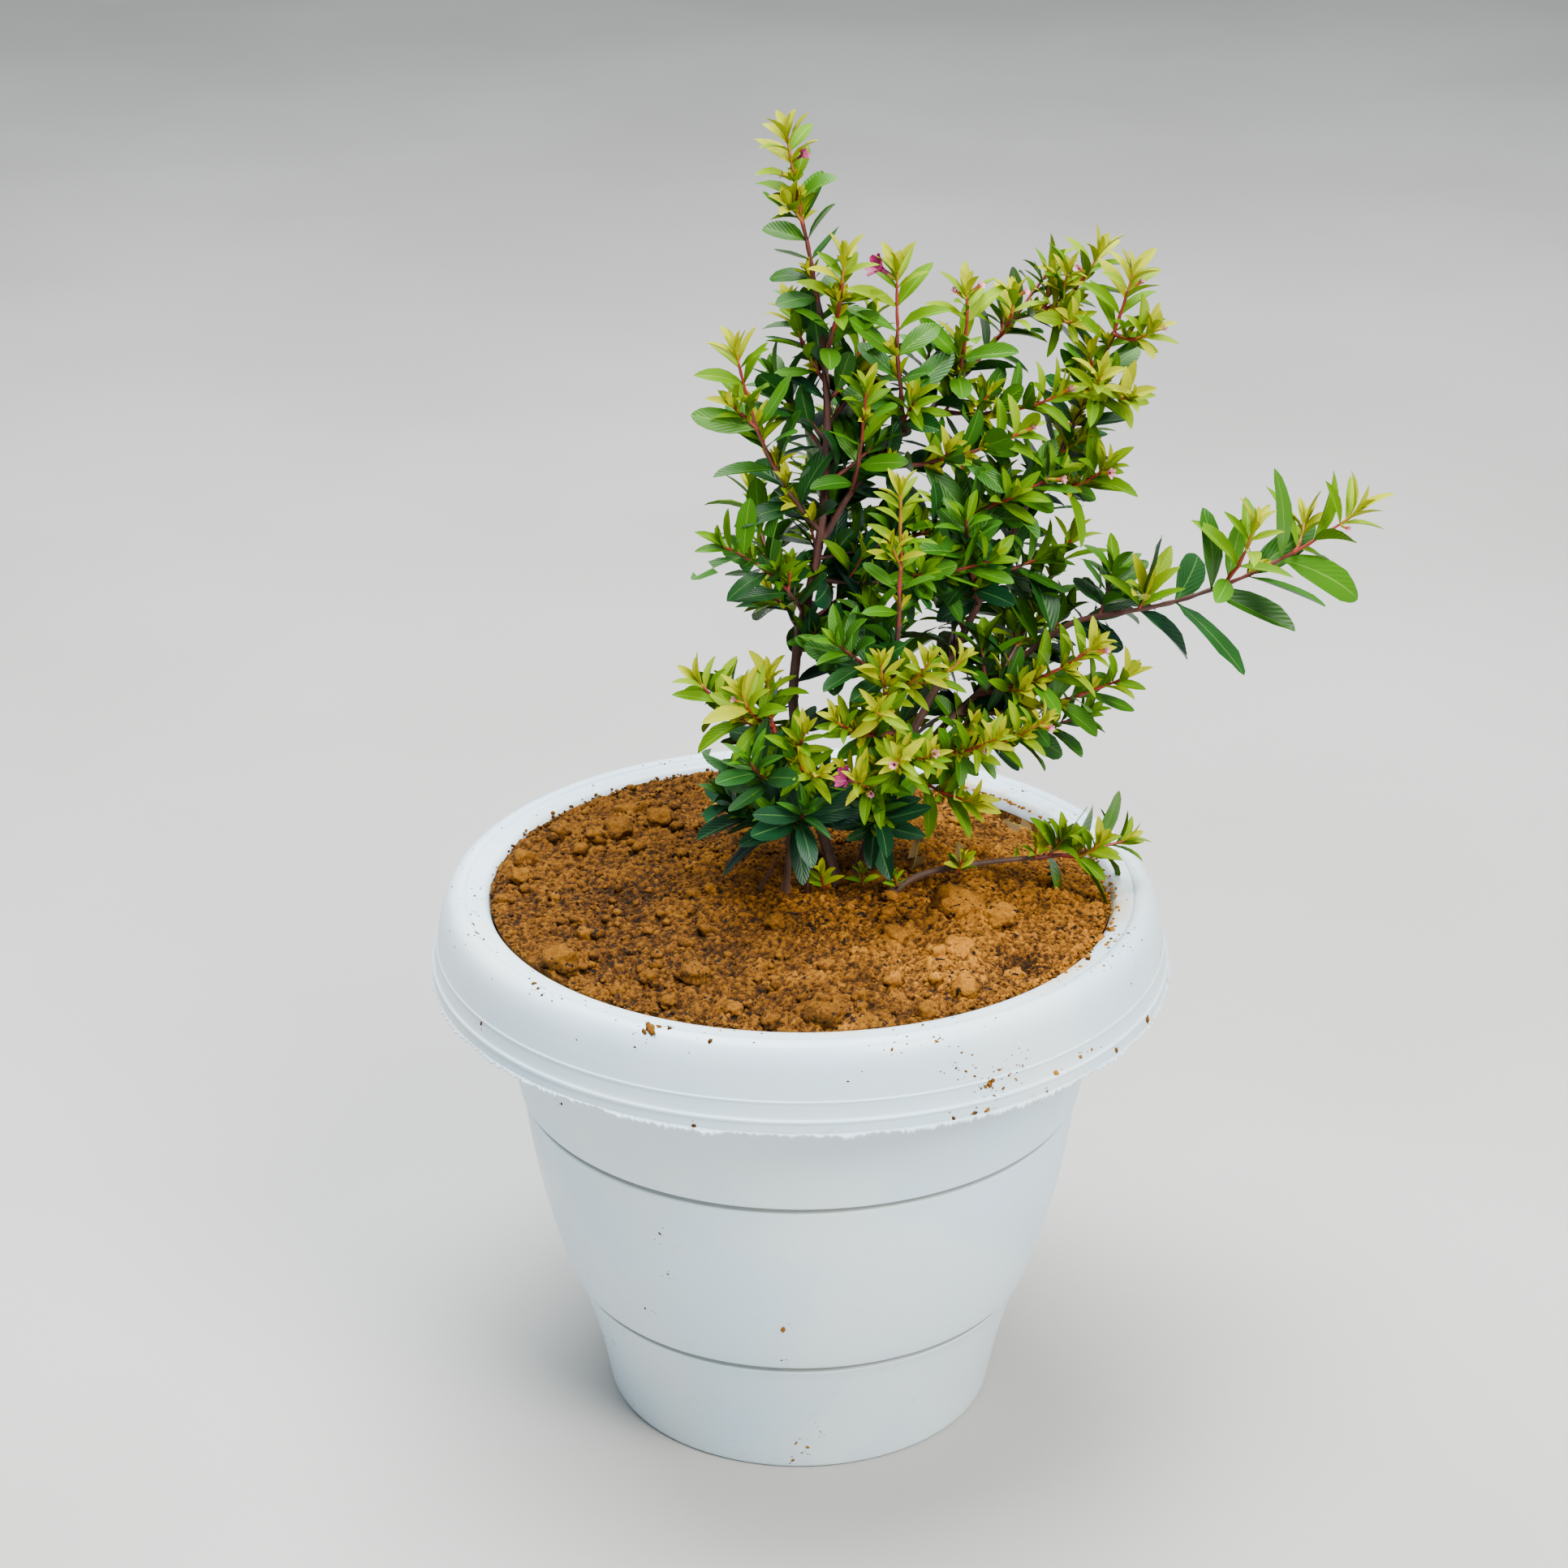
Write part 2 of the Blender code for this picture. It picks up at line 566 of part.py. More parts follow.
@dataclass
class Room:
    """The space that is taken: each solid's shoot or node, its bounds and its tree."""

    taken: list[tuple[str, Vector, Vector, BVHTree]]

    def add(self, owner: str, mesh: bpy.types.Mesh) -> None:
        """Record a solid as taken space."""
        low, high, tree = solid_tree(mesh)
        self.taken.append((owner, low, high, tree))

    def is_free(self, owner: str, mesh: bpy.types.Mesh) -> bool:
        """Whether a solid stays clear of all that other owners have taken."""
        low, high, tree = solid_tree(mesh)
        for name, other_low, other_high, other in self.taken:
            if name == owner:
                continue
            if any(low[i] > other_high[i] or high[i] < other_low[i] for i in range(3)):
                continue
            if tree.overlap(other):
                return False
        return True


def solid_tree(mesh: bpy.types.Mesh) -> tuple[Vector, Vector, BVHTree]:
    """A mesh's bounds and search tree."""
    points = [vertex.co.copy() for vertex in mesh.vertices]
    low = Vector(min(point[i] for point in points) for i in range(3))
    high = Vector(max(point[i] for point in points) for i in range(3))
    return low, high, BVHTree.FromPolygons(points, [tuple(face.vertices) for face in mesh.polygons])


def leaf_rows(shoot: Shoot, axis: Axis, fused: bool) -> list[tuple[float, float, float, float]]:
    """The shoot's leaves as (share of length, turn about the stem, angle off it, length)."""
    luck = random.Random(SEED + [row.name for row in SHOOTS].index(shoot.name))
    total = axis.length() / MM
    first = FIRST_NODE + (1.5 if fused else 0.0)
    count = max(1, round((total - first) / NODE_PITCH))
    phase = luck.uniform(0.0, math.pi)
    rows = []
    for node in range(count):
        share = (first + (total - first - 2.0) * node / count) / total
        angle = math.radians(62.0 - 22.0 * share)
        length = shoot.leaf * LEAF_GROWTH * (0.88 + 0.3 * share - 0.62 * share * share)
        for half in (0, 1):
            turn = phase + node * math.pi / 2.0 + half * math.pi + luck.uniform(-0.25, 0.25)
            rows.append((share, turn, angle + luck.uniform(-0.14, 0.14), length * luck.uniform(0.9, 1.06)))
    for pair, (back, degrees, size) in enumerate(((3.4, 36.0, 0.74), (1.3, 17.0, 0.66))):
        share = 1.0 - back / total
        for half in (0, 1):
            turn = phase + (count + pair) * math.pi / 2.0 + half * math.pi
            rows.append((share, turn, math.radians(degrees) + luck.uniform(-0.1, 0.1),
                         shoot.leaf * LEAF_GROWTH * size * luck.uniform(0.92, 1.08)))
    return rows


def around(along: Vector, turn: float) -> Vector:
    """A direction square to a stem, turned about it from the stem's level side."""
    side = along.cross(Vector((0.0, 0.0, 1.0)))
    side = side.normalized() if side.length > 0.05 else Vector((1.0, 0.0, 0.0))
    side = (side - along * side.dot(along)).normalized()
    return Quaternion(along, turn) @ side


def place_leaves(node: str, shoot: Shoot, axis: Axis, fused: bool, room: Room) -> list[bpy.types.Mesh]:
    """The shoot's leaves, each set where it stays clear of other nodes, or left off."""
    leaves = []
    for share, turn, angle, length in leaf_rows(shoot, axis, fused):
        point, along, thick = axis.at(share)
        for size, bend in LEAF_TRIES:
            place = leaf_place(point, along, around(along, turn), angle + math.radians(bend))
            place.translation -= place.col[2].to_3d() * thick * 0.2
            test = leaf_mesh("test", place, length * size * MM, GAP)
            free = room.is_free(shoot.name, test)
            bpy.data.meshes.remove(test)
            if free:
                leaves.append(leaf_mesh(node + "_leaf", place, length * size * MM))
                room.add(shoot.name, leaves[-1])
                break
    return leaves


def largest_body(mesh: bpy.types.Mesh) -> None:
    """Keep a mesh's largest closed body and drop loose scraps."""
    shell = bmesh.new()
    shell.from_mesh(mesh)
    left, bodies = set(shell.faces), []
    while left:
        body, edge = set(), [left.pop()]
        while edge:
            face = edge.pop()
            body.add(face)
            for link in (other for rim in face.edges for other in rim.link_faces):
                if link in left:
                    left.discard(link)
                    edge.append(link)
        bodies.append(body)
    keep = max(bodies, key=len)
    scraps = [face for body in bodies if body is not keep for face in body]
    bmesh.ops.delete(shell, geom=scraps, context="FACES")
    bmesh.ops.dissolve_limit(shell, angle_limit=math.radians(0.4), verts=shell.verts, edges=shell.edges)
    bmesh.ops.triangulate(shell, faces=shell.faces)
    shell.to_mesh(mesh)
    shell.free()


def united(stem: bpy.types.Object, pieces: bpy.types.Collection, solver: str,
           weld: float) -> bpy.types.Mesh:
    """The stem joined with the collection's pieces by one Boolean union."""
    union = stem.modifiers.new("Fuse", "BOOLEAN")
    union.operation = "UNION"
    union.operand_type = "COLLECTION"
    union.collection = pieces
    union.solver = solver
    fused = applied_mesh(stem, weld)
    stem.modifiers.remove(union)
    largest_body(fused)
    return fused


def is_whole(mesh: bpy.types.Mesh, meshes: list[bpy.types.Mesh]) -> bool:
    """Whether a union is closed and reaches about as far as its pieces do."""
    shell = bmesh.new()
    shell.from_mesh(mesh)
    closed = all(len(edge.link_faces) == 2 for edge in shell.edges)
    shell.free()
    if not closed or not mesh.vertices:
        return False
    low, high, _ = solid_tree(mesh)
    spans = [solid_tree(piece)[:2] for piece in meshes]
    return all(low[i] - min(span[0][i] for span in spans) < 2.0 * MM
               and max(span[1][i] for span in spans) - high[i] < 2.0 * MM for i in range(3))


def fuse(name: str, meshes: list[bpy.types.Mesh], home: bpy.types.Collection) -> bpy.types.Object:
    """Join a stem with its twigs and leaves, by the second solver where the first fails."""
    pieces = bpy.data.collections.new(name + "_pieces")
    bpy.context.scene.collection.children.link(pieces)
    for mesh in meshes[1:]:
        pieces.objects.link(bpy.data.objects.new(mesh.name, mesh))
    stem = bpy.data.objects.new(name + "_stem", meshes[0])
    home.objects.link(stem)
    for solver, weld in UNION_TRIES:
        fused = united(stem, pieces, solver, weld)
        if is_whole(fused, meshes):
            break
    bpy.data.objects.remove(stem)
    for piece in list(pieces.objects):
        bpy.data.objects.remove(piece)
    bpy.data.collections.remove(pieces)
    fused.materials.clear()
    joined = bpy.data.objects.new(name, fused)
    home.objects.link(joined)
    return joined


def build_limbs(axes: dict[str, Axis], room: Room, home: bpy.types.Collection) -> None:
    """The bare woody limbs, each a tapering tube cut flat at its foot."""
    bark = plain_material("bark", (0.17, 0.09, 0.06), 0.8)
    for limb in LIMBS:
        axes[limb.name] = limb_axis(limb, axes)
        mesh = tube_mesh(limb.name, axes[limb.name], 8 if limb.name == "stem_main" else 6, home)
        mesh.name = limb.name
        mesh.materials.clear()
        mesh.materials.append(bark)
        home.objects.link(bpy.data.objects.new(limb.name, mesh))
        room.add(limb.name, mesh)


def build_foliage(axes: dict[str, Axis], room: Room, home: bpy.types.Collection) -> None:
    """The masses of foliage: each shoot that leaves a limb, with the shoots fused to it."""
    green = plain_material("leaf_green", (0.10, 0.24, 0.05), 0.5)
    limbs = {limb.name for limb in LIMBS}
    owner: dict[str, str] = {}
    parts: dict[str, list[bpy.types.Mesh]] = {}
    for shoot in SHOOTS:
        fused = shoot.parent not in limbs
        node = owner[shoot.parent] if fused else "foliage_" + shoot.name
        owner[shoot.name] = node
        axes[shoot.name] = shoot_axis(shoot, axes, fused)
        mesh = tube_mesh(node + "_twig", axes[shoot.name], 3, home)
        parts.setdefault(node, []).append(mesh)
        room.add(shoot.name, mesh)
    for bloom in BLOOMS:
        point = axes[bloom.shoot].at(bloom.leaves_at)[0]
        facing = Vector(bloom.facing).normalized()
        place = Matrix.Translation(point) @ facing.to_track_quat("Z", "Y").to_matrix().to_4x4()
        mesh = bloom_mesh("bloom", place)
        parts[owner[bloom.shoot]].append(mesh)
        room.add(bloom.shoot, mesh)
    for shoot in SHOOTS:
        node = owner[shoot.name]
        fused = shoot.parent not in limbs
        parts[node] += place_leaves(node, shoot, axes[shoot.name], fused, room)
    for node, meshes in parts.items():
        mass = fuse(node, meshes, home)
        mass.data.materials.append(green)


def main() -> None:
    """Build the pot, the soil, the limbs and the foliage."""
    for old in list(bpy.data.objects):
        bpy.data.objects.remove(old, do_unlink=True)
    home = bpy.data.collections.new("potted_mexican_heather")
    bpy.context.scene.collection.children.link(home)
    room = Room([])
    pot = build_pot(home)
    soil = build_soil(home)
    for solid in (pot, soil):
        room.add(solid.name, applied_mesh(solid))
    axes: dict[str, Axis] = {}
    build_limbs(axes, room, home)
    build_foliage(axes, room, home)


if __name__ == "__main__":
    main()
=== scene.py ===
"""A potted Mexican heather, dressed for its picture.

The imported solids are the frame. This script models what is seen of them: the moulded
pot with its rolled rim, the crumbly soil, the woody stems, the twigs, the leaves and
the small flowers. The shrub grows here by the tables and the rule of its solids, and is
carried on to finer twigs, with the leaf pairs of the real plant.
"""

import json
import logging
import random
from collections.abc import Callable, Sequence
from dataclasses import dataclass, field
from enum import Enum
from functools import reduce
from math import atan2, cos, exp, hypot, pi, radians, sin, sqrt, tau
from typing import NamedTuple

import bmesh
import bpy
import numpy as np
from mathutils import Matrix, Quaternion, Vector, noise
from mathutils.bvhtree import BVHTree

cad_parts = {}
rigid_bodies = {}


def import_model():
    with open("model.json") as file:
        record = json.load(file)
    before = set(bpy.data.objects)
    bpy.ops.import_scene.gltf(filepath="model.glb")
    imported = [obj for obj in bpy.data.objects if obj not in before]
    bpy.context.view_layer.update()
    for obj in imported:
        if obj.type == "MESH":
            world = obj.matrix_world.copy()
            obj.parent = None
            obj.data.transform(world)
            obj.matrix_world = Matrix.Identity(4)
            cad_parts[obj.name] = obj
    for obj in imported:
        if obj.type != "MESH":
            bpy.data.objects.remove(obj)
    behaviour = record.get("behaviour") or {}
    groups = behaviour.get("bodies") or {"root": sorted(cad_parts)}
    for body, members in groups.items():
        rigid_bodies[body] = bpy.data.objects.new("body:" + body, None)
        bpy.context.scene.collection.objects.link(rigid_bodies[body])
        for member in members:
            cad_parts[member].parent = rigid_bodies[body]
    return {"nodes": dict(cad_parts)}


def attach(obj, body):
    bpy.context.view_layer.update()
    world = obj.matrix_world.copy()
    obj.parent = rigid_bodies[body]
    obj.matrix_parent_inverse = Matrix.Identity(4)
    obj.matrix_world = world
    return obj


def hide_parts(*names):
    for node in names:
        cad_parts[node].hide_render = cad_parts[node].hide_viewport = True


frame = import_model()

log = logging.getLogger("heather")

MM = 0.001  # metres
ROOT = "root"
SEED = 5200
PICTURE = 1932  # pixels a side of the photograph
SAME_ROW = 1e-3  # how near a vertex is to its row while a shape is modelled
UP = Vector((0.0, 0.0, 1.0))
Point = tuple[float, float, float]
Span = tuple[float, float]
Piece = bpy.types.Object
Material = bpy.types.Material
Socket = bpy.types.NodeSocket
Luck = random.Random
Feeds = dict[str | int, float | tuple | Socket]


class Tone(Enum):
    """The leaves' colours, from old dark leaves, partly painted shade deep in the crown, to the youngest
    tips.
    """

    DEEP = 0
    DARK = 1
    LEAF = 2
    MID = 3
    FRESH = 4
    LIME = 5
    GOLD = 6
    YELLOW = 7
    DRY = 8


class Bark(Enum):
    """The twigs' colours, from old wood to the newest growth."""

    BROWN = 0
    MAROON = 1
    CRIMSON = 2
    TENDER = 3


class Petal(Enum):
    """The flowers' colours."""

    MAGENTA = 0
    BLUSH = 1


class Form(Enum):
    """The shapes of leaf that are modelled once and copied."""

    BROAD = 0
    CUPPED = 1
    BITTEN = 2
    YOUNG = 3
    BUD = 4


@dataclass(frozen=True)
class Tint:
    """A colour as it looks, in counts of 0 to 255."""

    red: float
    green: float
    blue: float

    def linear(self) -> tuple[float, float, float, float]:
        """The colour as a shader takes it.

        Returns:
            Its red, green, blue and cover, from 0 to 1.
        """
        parts = [count / 255.0 for count in (self.red, self.green, self.blue)]
        curve = [part / 12.92 if part <= 0.04045 else ((part + 0.055) / 1.055) ** 2.4 for part in parts]
        return (curve[0], curve[1], curve[2], 1.0)

    def toward(self, other: "Tint", share: float) -> "Tint":
        """A colour part of the way to another, which it reaches at a share of 1."""
        parts = ((self.red, other.red), (self.green, other.green), (self.blue, other.blue))
        return Tint(*(mine + (theirs - mine) * share for mine, theirs in parts))


BLACK = Tint(0, 0, 0)
WHITE = Tint(255, 255, 255)
# the darker tones are the leaves' age and also painted shade for leaves deep in the crown and under it
BLADES = {
    Tone.DEEP: Tint(10, 44, 30),
    Tone.DARK: Tint(15, 56, 29),
    Tone.LEAF: Tint(25, 71, 22),
    Tone.MID: Tint(40, 90, 12),
    Tone.FRESH: Tint(57, 108, 2),
    Tone.LIME: Tint(82, 122, 0),
    Tone.GOLD: Tint(114, 142, 0),
    Tone.YELLOW: Tint(154, 159, 0),
    Tone.DRY: Tint(104, 84, 52),
}
WOOD = {
    Bark.BROWN: Tint(74, 42, 34),
    Bark.MAROON: Tint(102, 40, 32),
    Bark.CRIMSON: Tint(142, 42, 30),
    Bark.TENDER: Tint(160, 104, 26),
}


# The shrub's limbs and shoots, in millimetres, in the places that its solids have
@dataclass(frozen=True)
class Limb:
    """A woody limb: where it starts, its way points and its radii."""

    name: str
    parent: str
    leaves_at: float
    way: tuple[Point, ...]
    root: float
    tip: float


LIMBS = (
    Limb("stem_main", "", 0.0, ((10, -6, 163.5), (-1, -8, 208), (-1, -7, 233), (5, -5, 264),
                                (7, -2, 297), (5, 0, 326)), 1.8, 0.9),
    Limb("stem_second", "", 0.0, ((16, -3, 163.5), (24, -6, 192), (43, 2, 230), (61, 8, 268)),
         1.5, 0.9),
    Limb("stem_left", "", 0.0, ((-4, -14, 163.5), (-3, -17, 189), (-7, -18, 213)), 1.15, 0.75),
    Limb("stem_low", "", 0.0, ((25, -17, 163.5), (34, -14, 168.5), (50, -10, 170), (66, -5, 169.5)),
         1.1, 0.7),
    Limb("bough_upper", "stem_main", 0.635, ((13, -2, 276), (23, 2, 288)), 0.95, 0.8),
    Limb("bough_right", "stem_second", 0.296, ((43, -4, 213), (59, -2, 227)), 1.15, 0.9),
    Limb("bough_far", "bough_right", 1.0, ((74, -5, 240), (88, -8, 244.5)), 0.9, 0.8),
    Limb("bough_front", "stem_second", 0.218, ((25, -18, 207), (25, -23, 228), (26, -25, 247)),
         0.95, 0.7),
)


@dataclass(frozen=True)
class Shoot:
    """A leafy shoot, and how young its growth looks: more is yellower, less is darker, partly as painted
    shade.
    """

    name: str
    parent: str
    leaves_at: float
    tip: Point
    leaf: float
    youth: float
    sag: float = 2.0


SHOOTS = tuple(Shoot(*row) for row in (
    ("leader", "stem_main", 1.0, (-4, 4, 373), 13, 14, 1.5),
    ("crest", "stem_main", 0.93, (11, -9, 343), 12, 8),
    ("crest_left", "stem_main", 0.89, (-3, 8, 326), 10, 6),
    ("crest_back", "stem_main", 0.86, (19, 13, 321), 13, -4, 3.0),
    ("collar_left", "stem_main", 0.80, (-7, 7, 306), 18, -34, 1.0),
    ("collar_right", "stem_main", 0.75, (17, 16, 300), 16, -26, 3.0),
    ("left_high", "stem_main", 0.65, (-17, -16, 320), 16, 2, 4.0),
    ("left_mid", "stem_main", 0.51, (-21, -15, 266), 15, -22, -2.5),
    ("left_low", "stem_left", 1.0, (-9, -15, 228), 14, 6),
    ("left_low_b", "left_low", 0.12, (-16, -24, 227), 13, 6, 2.0),
    ("left_low_c", "left_low", 0.02, (-28, -8, 224), 14, 0, 2.5),
    ("left_front", "stem_left", 0.72, (-14, -31, 210), 16, -34),
    ("skirt_left", "stem_left", 0.42, (-21, -14, 192), 19, -58, 1.0),
    ("skirt_front", "stem_left", 0.50, (1, -36, 197), 18, -54, 1.0),
    ("front_a", "stem_left", 0.86, (1, -32, 219), 14, 2),
    ("front_b", "front_a", 0.25, (5, -38, 209), 13, 6),
    ("crown_upper", "bough_upper", 1.0, (68, 28, 331), 14, -6, 7.0),
    ("upper_a", "crown_upper", 0.10, (25, -6, 339), 16, 2, 3.0),
    ("upper_e", "crown_upper", 0.24, (69, -2, 304), 14, -4, 3.0),
    ("upper_b", "crown_upper", 0.38, (44, 6, 330), 15, 0, 3.0),
    ("upper_c", "crown_upper", 0.62, (57, 13, 327), 12, 6),
    ("upper_d", "crown_upper", 0.74, (80, 19, 337), 14, 6, 4.0),
    ("upper_f", "upper_d", 0.35, (73, 6, 322), 12, 8),
    ("mid_up", "bough_upper", 0.50, (17, -11, 308), 14, -4),
    ("mid_a", "bough_upper", 0.78, (59, -9, 296), 15, -8, 2.5),
    ("mid_b", "stem_main", 0.605, (69, -5, 283), 16, -12, 3.0),
    ("mid_c", "stem_main", 0.57, (51, -18, 263), 16, -14, 3.0),
    ("mid_d", "stem_second", 0.76, (44, -14, 273), 16, -26, 2.5),
    ("mid_e", "crown_upper", 0.16, (35, 15, 313), 14, -30),
    ("inner", "stem_main", 0.45, (19, -19, 244), 15, -36),
    ("crown_right", "stem_second", 1.0, (88, 6, 335), 14, 6, 5.0),
    ("right_e", "crown_right", 0.12, (82, -3, 284), 16, -4, 2.5),
    ("right_f", "crown_right", 0.50, (79, -7, 311), 12, 8),
    ("right_g", "crown_right", 0.58, (87, -8, 305), 12, 6),
    ("right_h", "crown_right", 0.76, (93, -2, 322), 11, 8),
    ("right_a", "bough_right", 0.90, (75, 12, 259), 15, -4, 2.5),
    ("far", "bough_far", 1.0, (147, -18, 276), 22, 4, 4.5),
    ("far_b", "far", 0.40, (120, -22, 274), 18, 10, 1.5),
    ("far_c", "far", 0.72, (136, -5, 269), 16, 8),
    ("right_b", "bough_right", 0.72, (79, -18, 238), 14, 2),
    ("right_c", "bough_right", 0.56, (89, -14, 228), 14, -2, 3.0),
    ("right_d", "bough_right", 0.40, (80, 5, 209), 15, -18, 3.0),
    ("front_star", "bough_front", 1.0, (26, -26, 285), 12, 20, 1.0),
    ("front_c", "bough_front", 0.62, (21, -35, 240), 12, 16),
    ("front_d", "front_c", 0.20, (20, -42, 229), 12, 14),
    ("front_e", "bough_front", 0.74, (34, -34, 240), 12, 16),
    ("front_e2", "front_e", 0.25, (43, -27, 238), 12, 12),
    ("front_f", "bough_front", 0.38, (35, -39, 215), 12, 14, 1.0),
    ("front_g", "front_f", 0.30, (26, -45, 217), 12, 14),
    ("front_h", "bough_front", 0.24, (15, -42, 209), 13, 8),
    ("front_i", "bough_front", 0.50, (9, -36, 224), 13, 2),
    ("front_right", "bough_right", 0.28, (53, -31, 217), 13, 12),
    ("front_right2", "front_right", 0.30, (66, -24, 219), 13, 10),
    ("front_low", "bough_right", 0.14, (47, -19, 193), 14, 4),
    ("skirt_mid", "stem_second", 0.17, (22, -27, 194), 16, -52, 1.0),
    ("skirt_back", "stem_main", 0.12, (7, 13, 185), 15, -48, 1.0),
    ("low_tip", "stem_low", 1.0, (92, 3, 171), 15, -4, 1.0),
    ("low_tip2", "low_tip", 0.30, (84, -7, 175), 10, 10),
    ("back_a", "stem_main", 0.48, (-14, 32, 266), 16, -6, 4.0),
    ("back_b", "stem_main", 0.60, (9, 42, 282), 16, -2, 5.0),
    ("back_low_a", "stem_main", 0.26, (-20, 27, 207), 17, -12, 2.5),
    ("back_c", "stem_second", 0.62, (46, 46, 271), 16, -4, 5.0),
    ("back_d", "stem_second", 0.86, (78, 38, 292), 15, 0, 4.5),
    ("back_low_b", "stem_second", 0.34, (28, 42, 221), 16, -8, 3.5),
    ("back_low_c", "bough_right", 0.50, (68, 32, 224), 16, -8, 3.5),
))


@dataclass(frozen=True)
class Bloom:
    """A flower: the shoot that it sits on, where, the way it points and its colour."""

    shoot: str
    leaves_at: float
    facing: Point
    petal: Petal
    size: float = 1.0


BLOOMS = tuple(Bloom(*row) for row in (
    ("upper_a", 0.95, (-0.9, -0.5, 0.5), Petal.MAGENTA, 1.22),
    ("front_h", 0.80, (-0.9, -0.4, 0.5), Petal.MAGENTA, 1.12),
    ("mid_a", 0.96, (0.8, -0.5, 0.6), Petal.BLUSH),
    ("right_e", 0.90, (0.3, -0.9, 0.1), Petal.BLUSH),
    ("right_b", 0.94, (0.8, -0.4, 0.1), Petal.BLUSH),
    ("leader", 0.84, (0.8, -0.5, 0.4), Petal.MAGENTA, 0.7),
    ("leader", 0.74, (-0.9, -0.5, 0.3), Petal.BLUSH, 0.75),
    ("upper_b", 0.97, (0.8, -0.4, 0.5), Petal.BLUSH, 0.9),
    ("upper_b", 0.93, (-0.9, -0.3, 0.5), Petal.BLUSH, 0.8),
    ("upper_c", 0.95, (0.7, -0.5, 0.4), Petal.BLUSH, 0.8),
    ("upper_e", 0.96, (0.8, -0.4, 0.6), Petal.BLUSH, 0.9),
    ("upper_d", 0.80, (-0.7, -0.6, 0.2), Petal.BLUSH, 0.8),
    ("crown_right", 0.93, (0.8, -0.2, 0.5), Petal.BLUSH, 0.8),
    ("right_h", 0.85, (0.9, -0.3, 0.4), Petal.BLUSH, 0.85),
    ("mid_b", 0.95, (0.7, -0.6, 0.1), Petal.BLUSH, 0.9),
    ("front_g", 0.85, (-0.4, -0.9, 0.1), Petal.BLUSH, 0.9),
    ("front_f", 0.90, (0.3, -0.8, 0.6), Petal.BLUSH, 0.9),
    ("front_h", 0.55, (0.1, -0.9, -0.1), Petal.BLUSH, 0.8),
    ("front_right2", 0.92, (0.6, -0.8, 0.0), Petal.BLUSH, 0.85),
    ("front_right", 0.85, (-0.2, -0.9, -0.2), Petal.BLUSH, 0.8),
    ("far", 0.93, (0.2, -0.9, -0.1), Petal.BLUSH, 0.7),
    ("back_c", 0.94, (0.2, 0.9, 0.3), Petal.BLUSH, 0.9),
    ("back_b", 0.92, (-0.5, 0.8, 0.3), Petal.MAGENTA, 1.0),
    ("back_d", 0.90, (0.7, 0.6, 0.2), Petal.BLUSH, 0.9),
    ("left_low_b", 0.80, (-0.8, -0.5, 0.3), Petal.BLUSH, 0.7),
))


# Small growth at the stems' feet, in millimetres: sprouts, dry twigs and dead leaves
SPROUTS = (
    (6.5, -15.5, 165.0, 6.2), (17.5, -14.0, 165.0, 4.4), (27.0, -16.0, 165.0, 4.2),
    (44.0, -13.0, 169.0, 6.4), (66.0, -6.0, 170.0, 5.6),
)
DRY_TWIGS = (
    ((-11.5, -14.0, 164.0), (-6.0, -15.0, 175.0)),
    ((2.0, -16.0, 164.0), (1.0, -17.0, 177.0)),
    ((27.0, -15.0, 164.0), (24.0, -15.0, 173.0)),
)
DEAD_LEAVES = (
    ((33.5, -7.0, 178.0), (-0.1, -0.3, -1.0), 13.0),
    ((56.0, -16.0, 186.0), (0.9, -0.3, -0.2), 9.0),
    ((44.0, -13.0, 178.0), (0.2, -0.3, -1.0), 10.0),
)


@dataclass(frozen=True)
class Lump:
    """A lump of the soil, or a hollow: its place, its rise and its reach, in millimetres."""

    x: float
    y: float
    rise: float
    reach: float


LUMPS = (
    Lump(-49, 38, 4.6, 9.0),
    Lump(-68, 29, 2.2, 10.0),
    Lump(-76, 4, 1.6, 10.0),
    Lump(-66, -50, 2.0, 9.0),
    Lump(-30, -62, 1.4, 9.0),
    Lump(-50, -16, -1.6, 11.0),
    Lump(8, -74, 1.6, 11.0),
    Lump(42, -56, 2.4, 8.0),
    Lump(59, -50, -2.8, 7.0),
    Lump(48, -28, 3.0, 11.0),
    Lump(74, -18, 1.4, 9.0),
    Lump(-14, 66, 2.0, 12.0),
    Lump(22, 52, -1.4, 11.0),
    Lump(-26, 34, -1.2, 9.0),
)

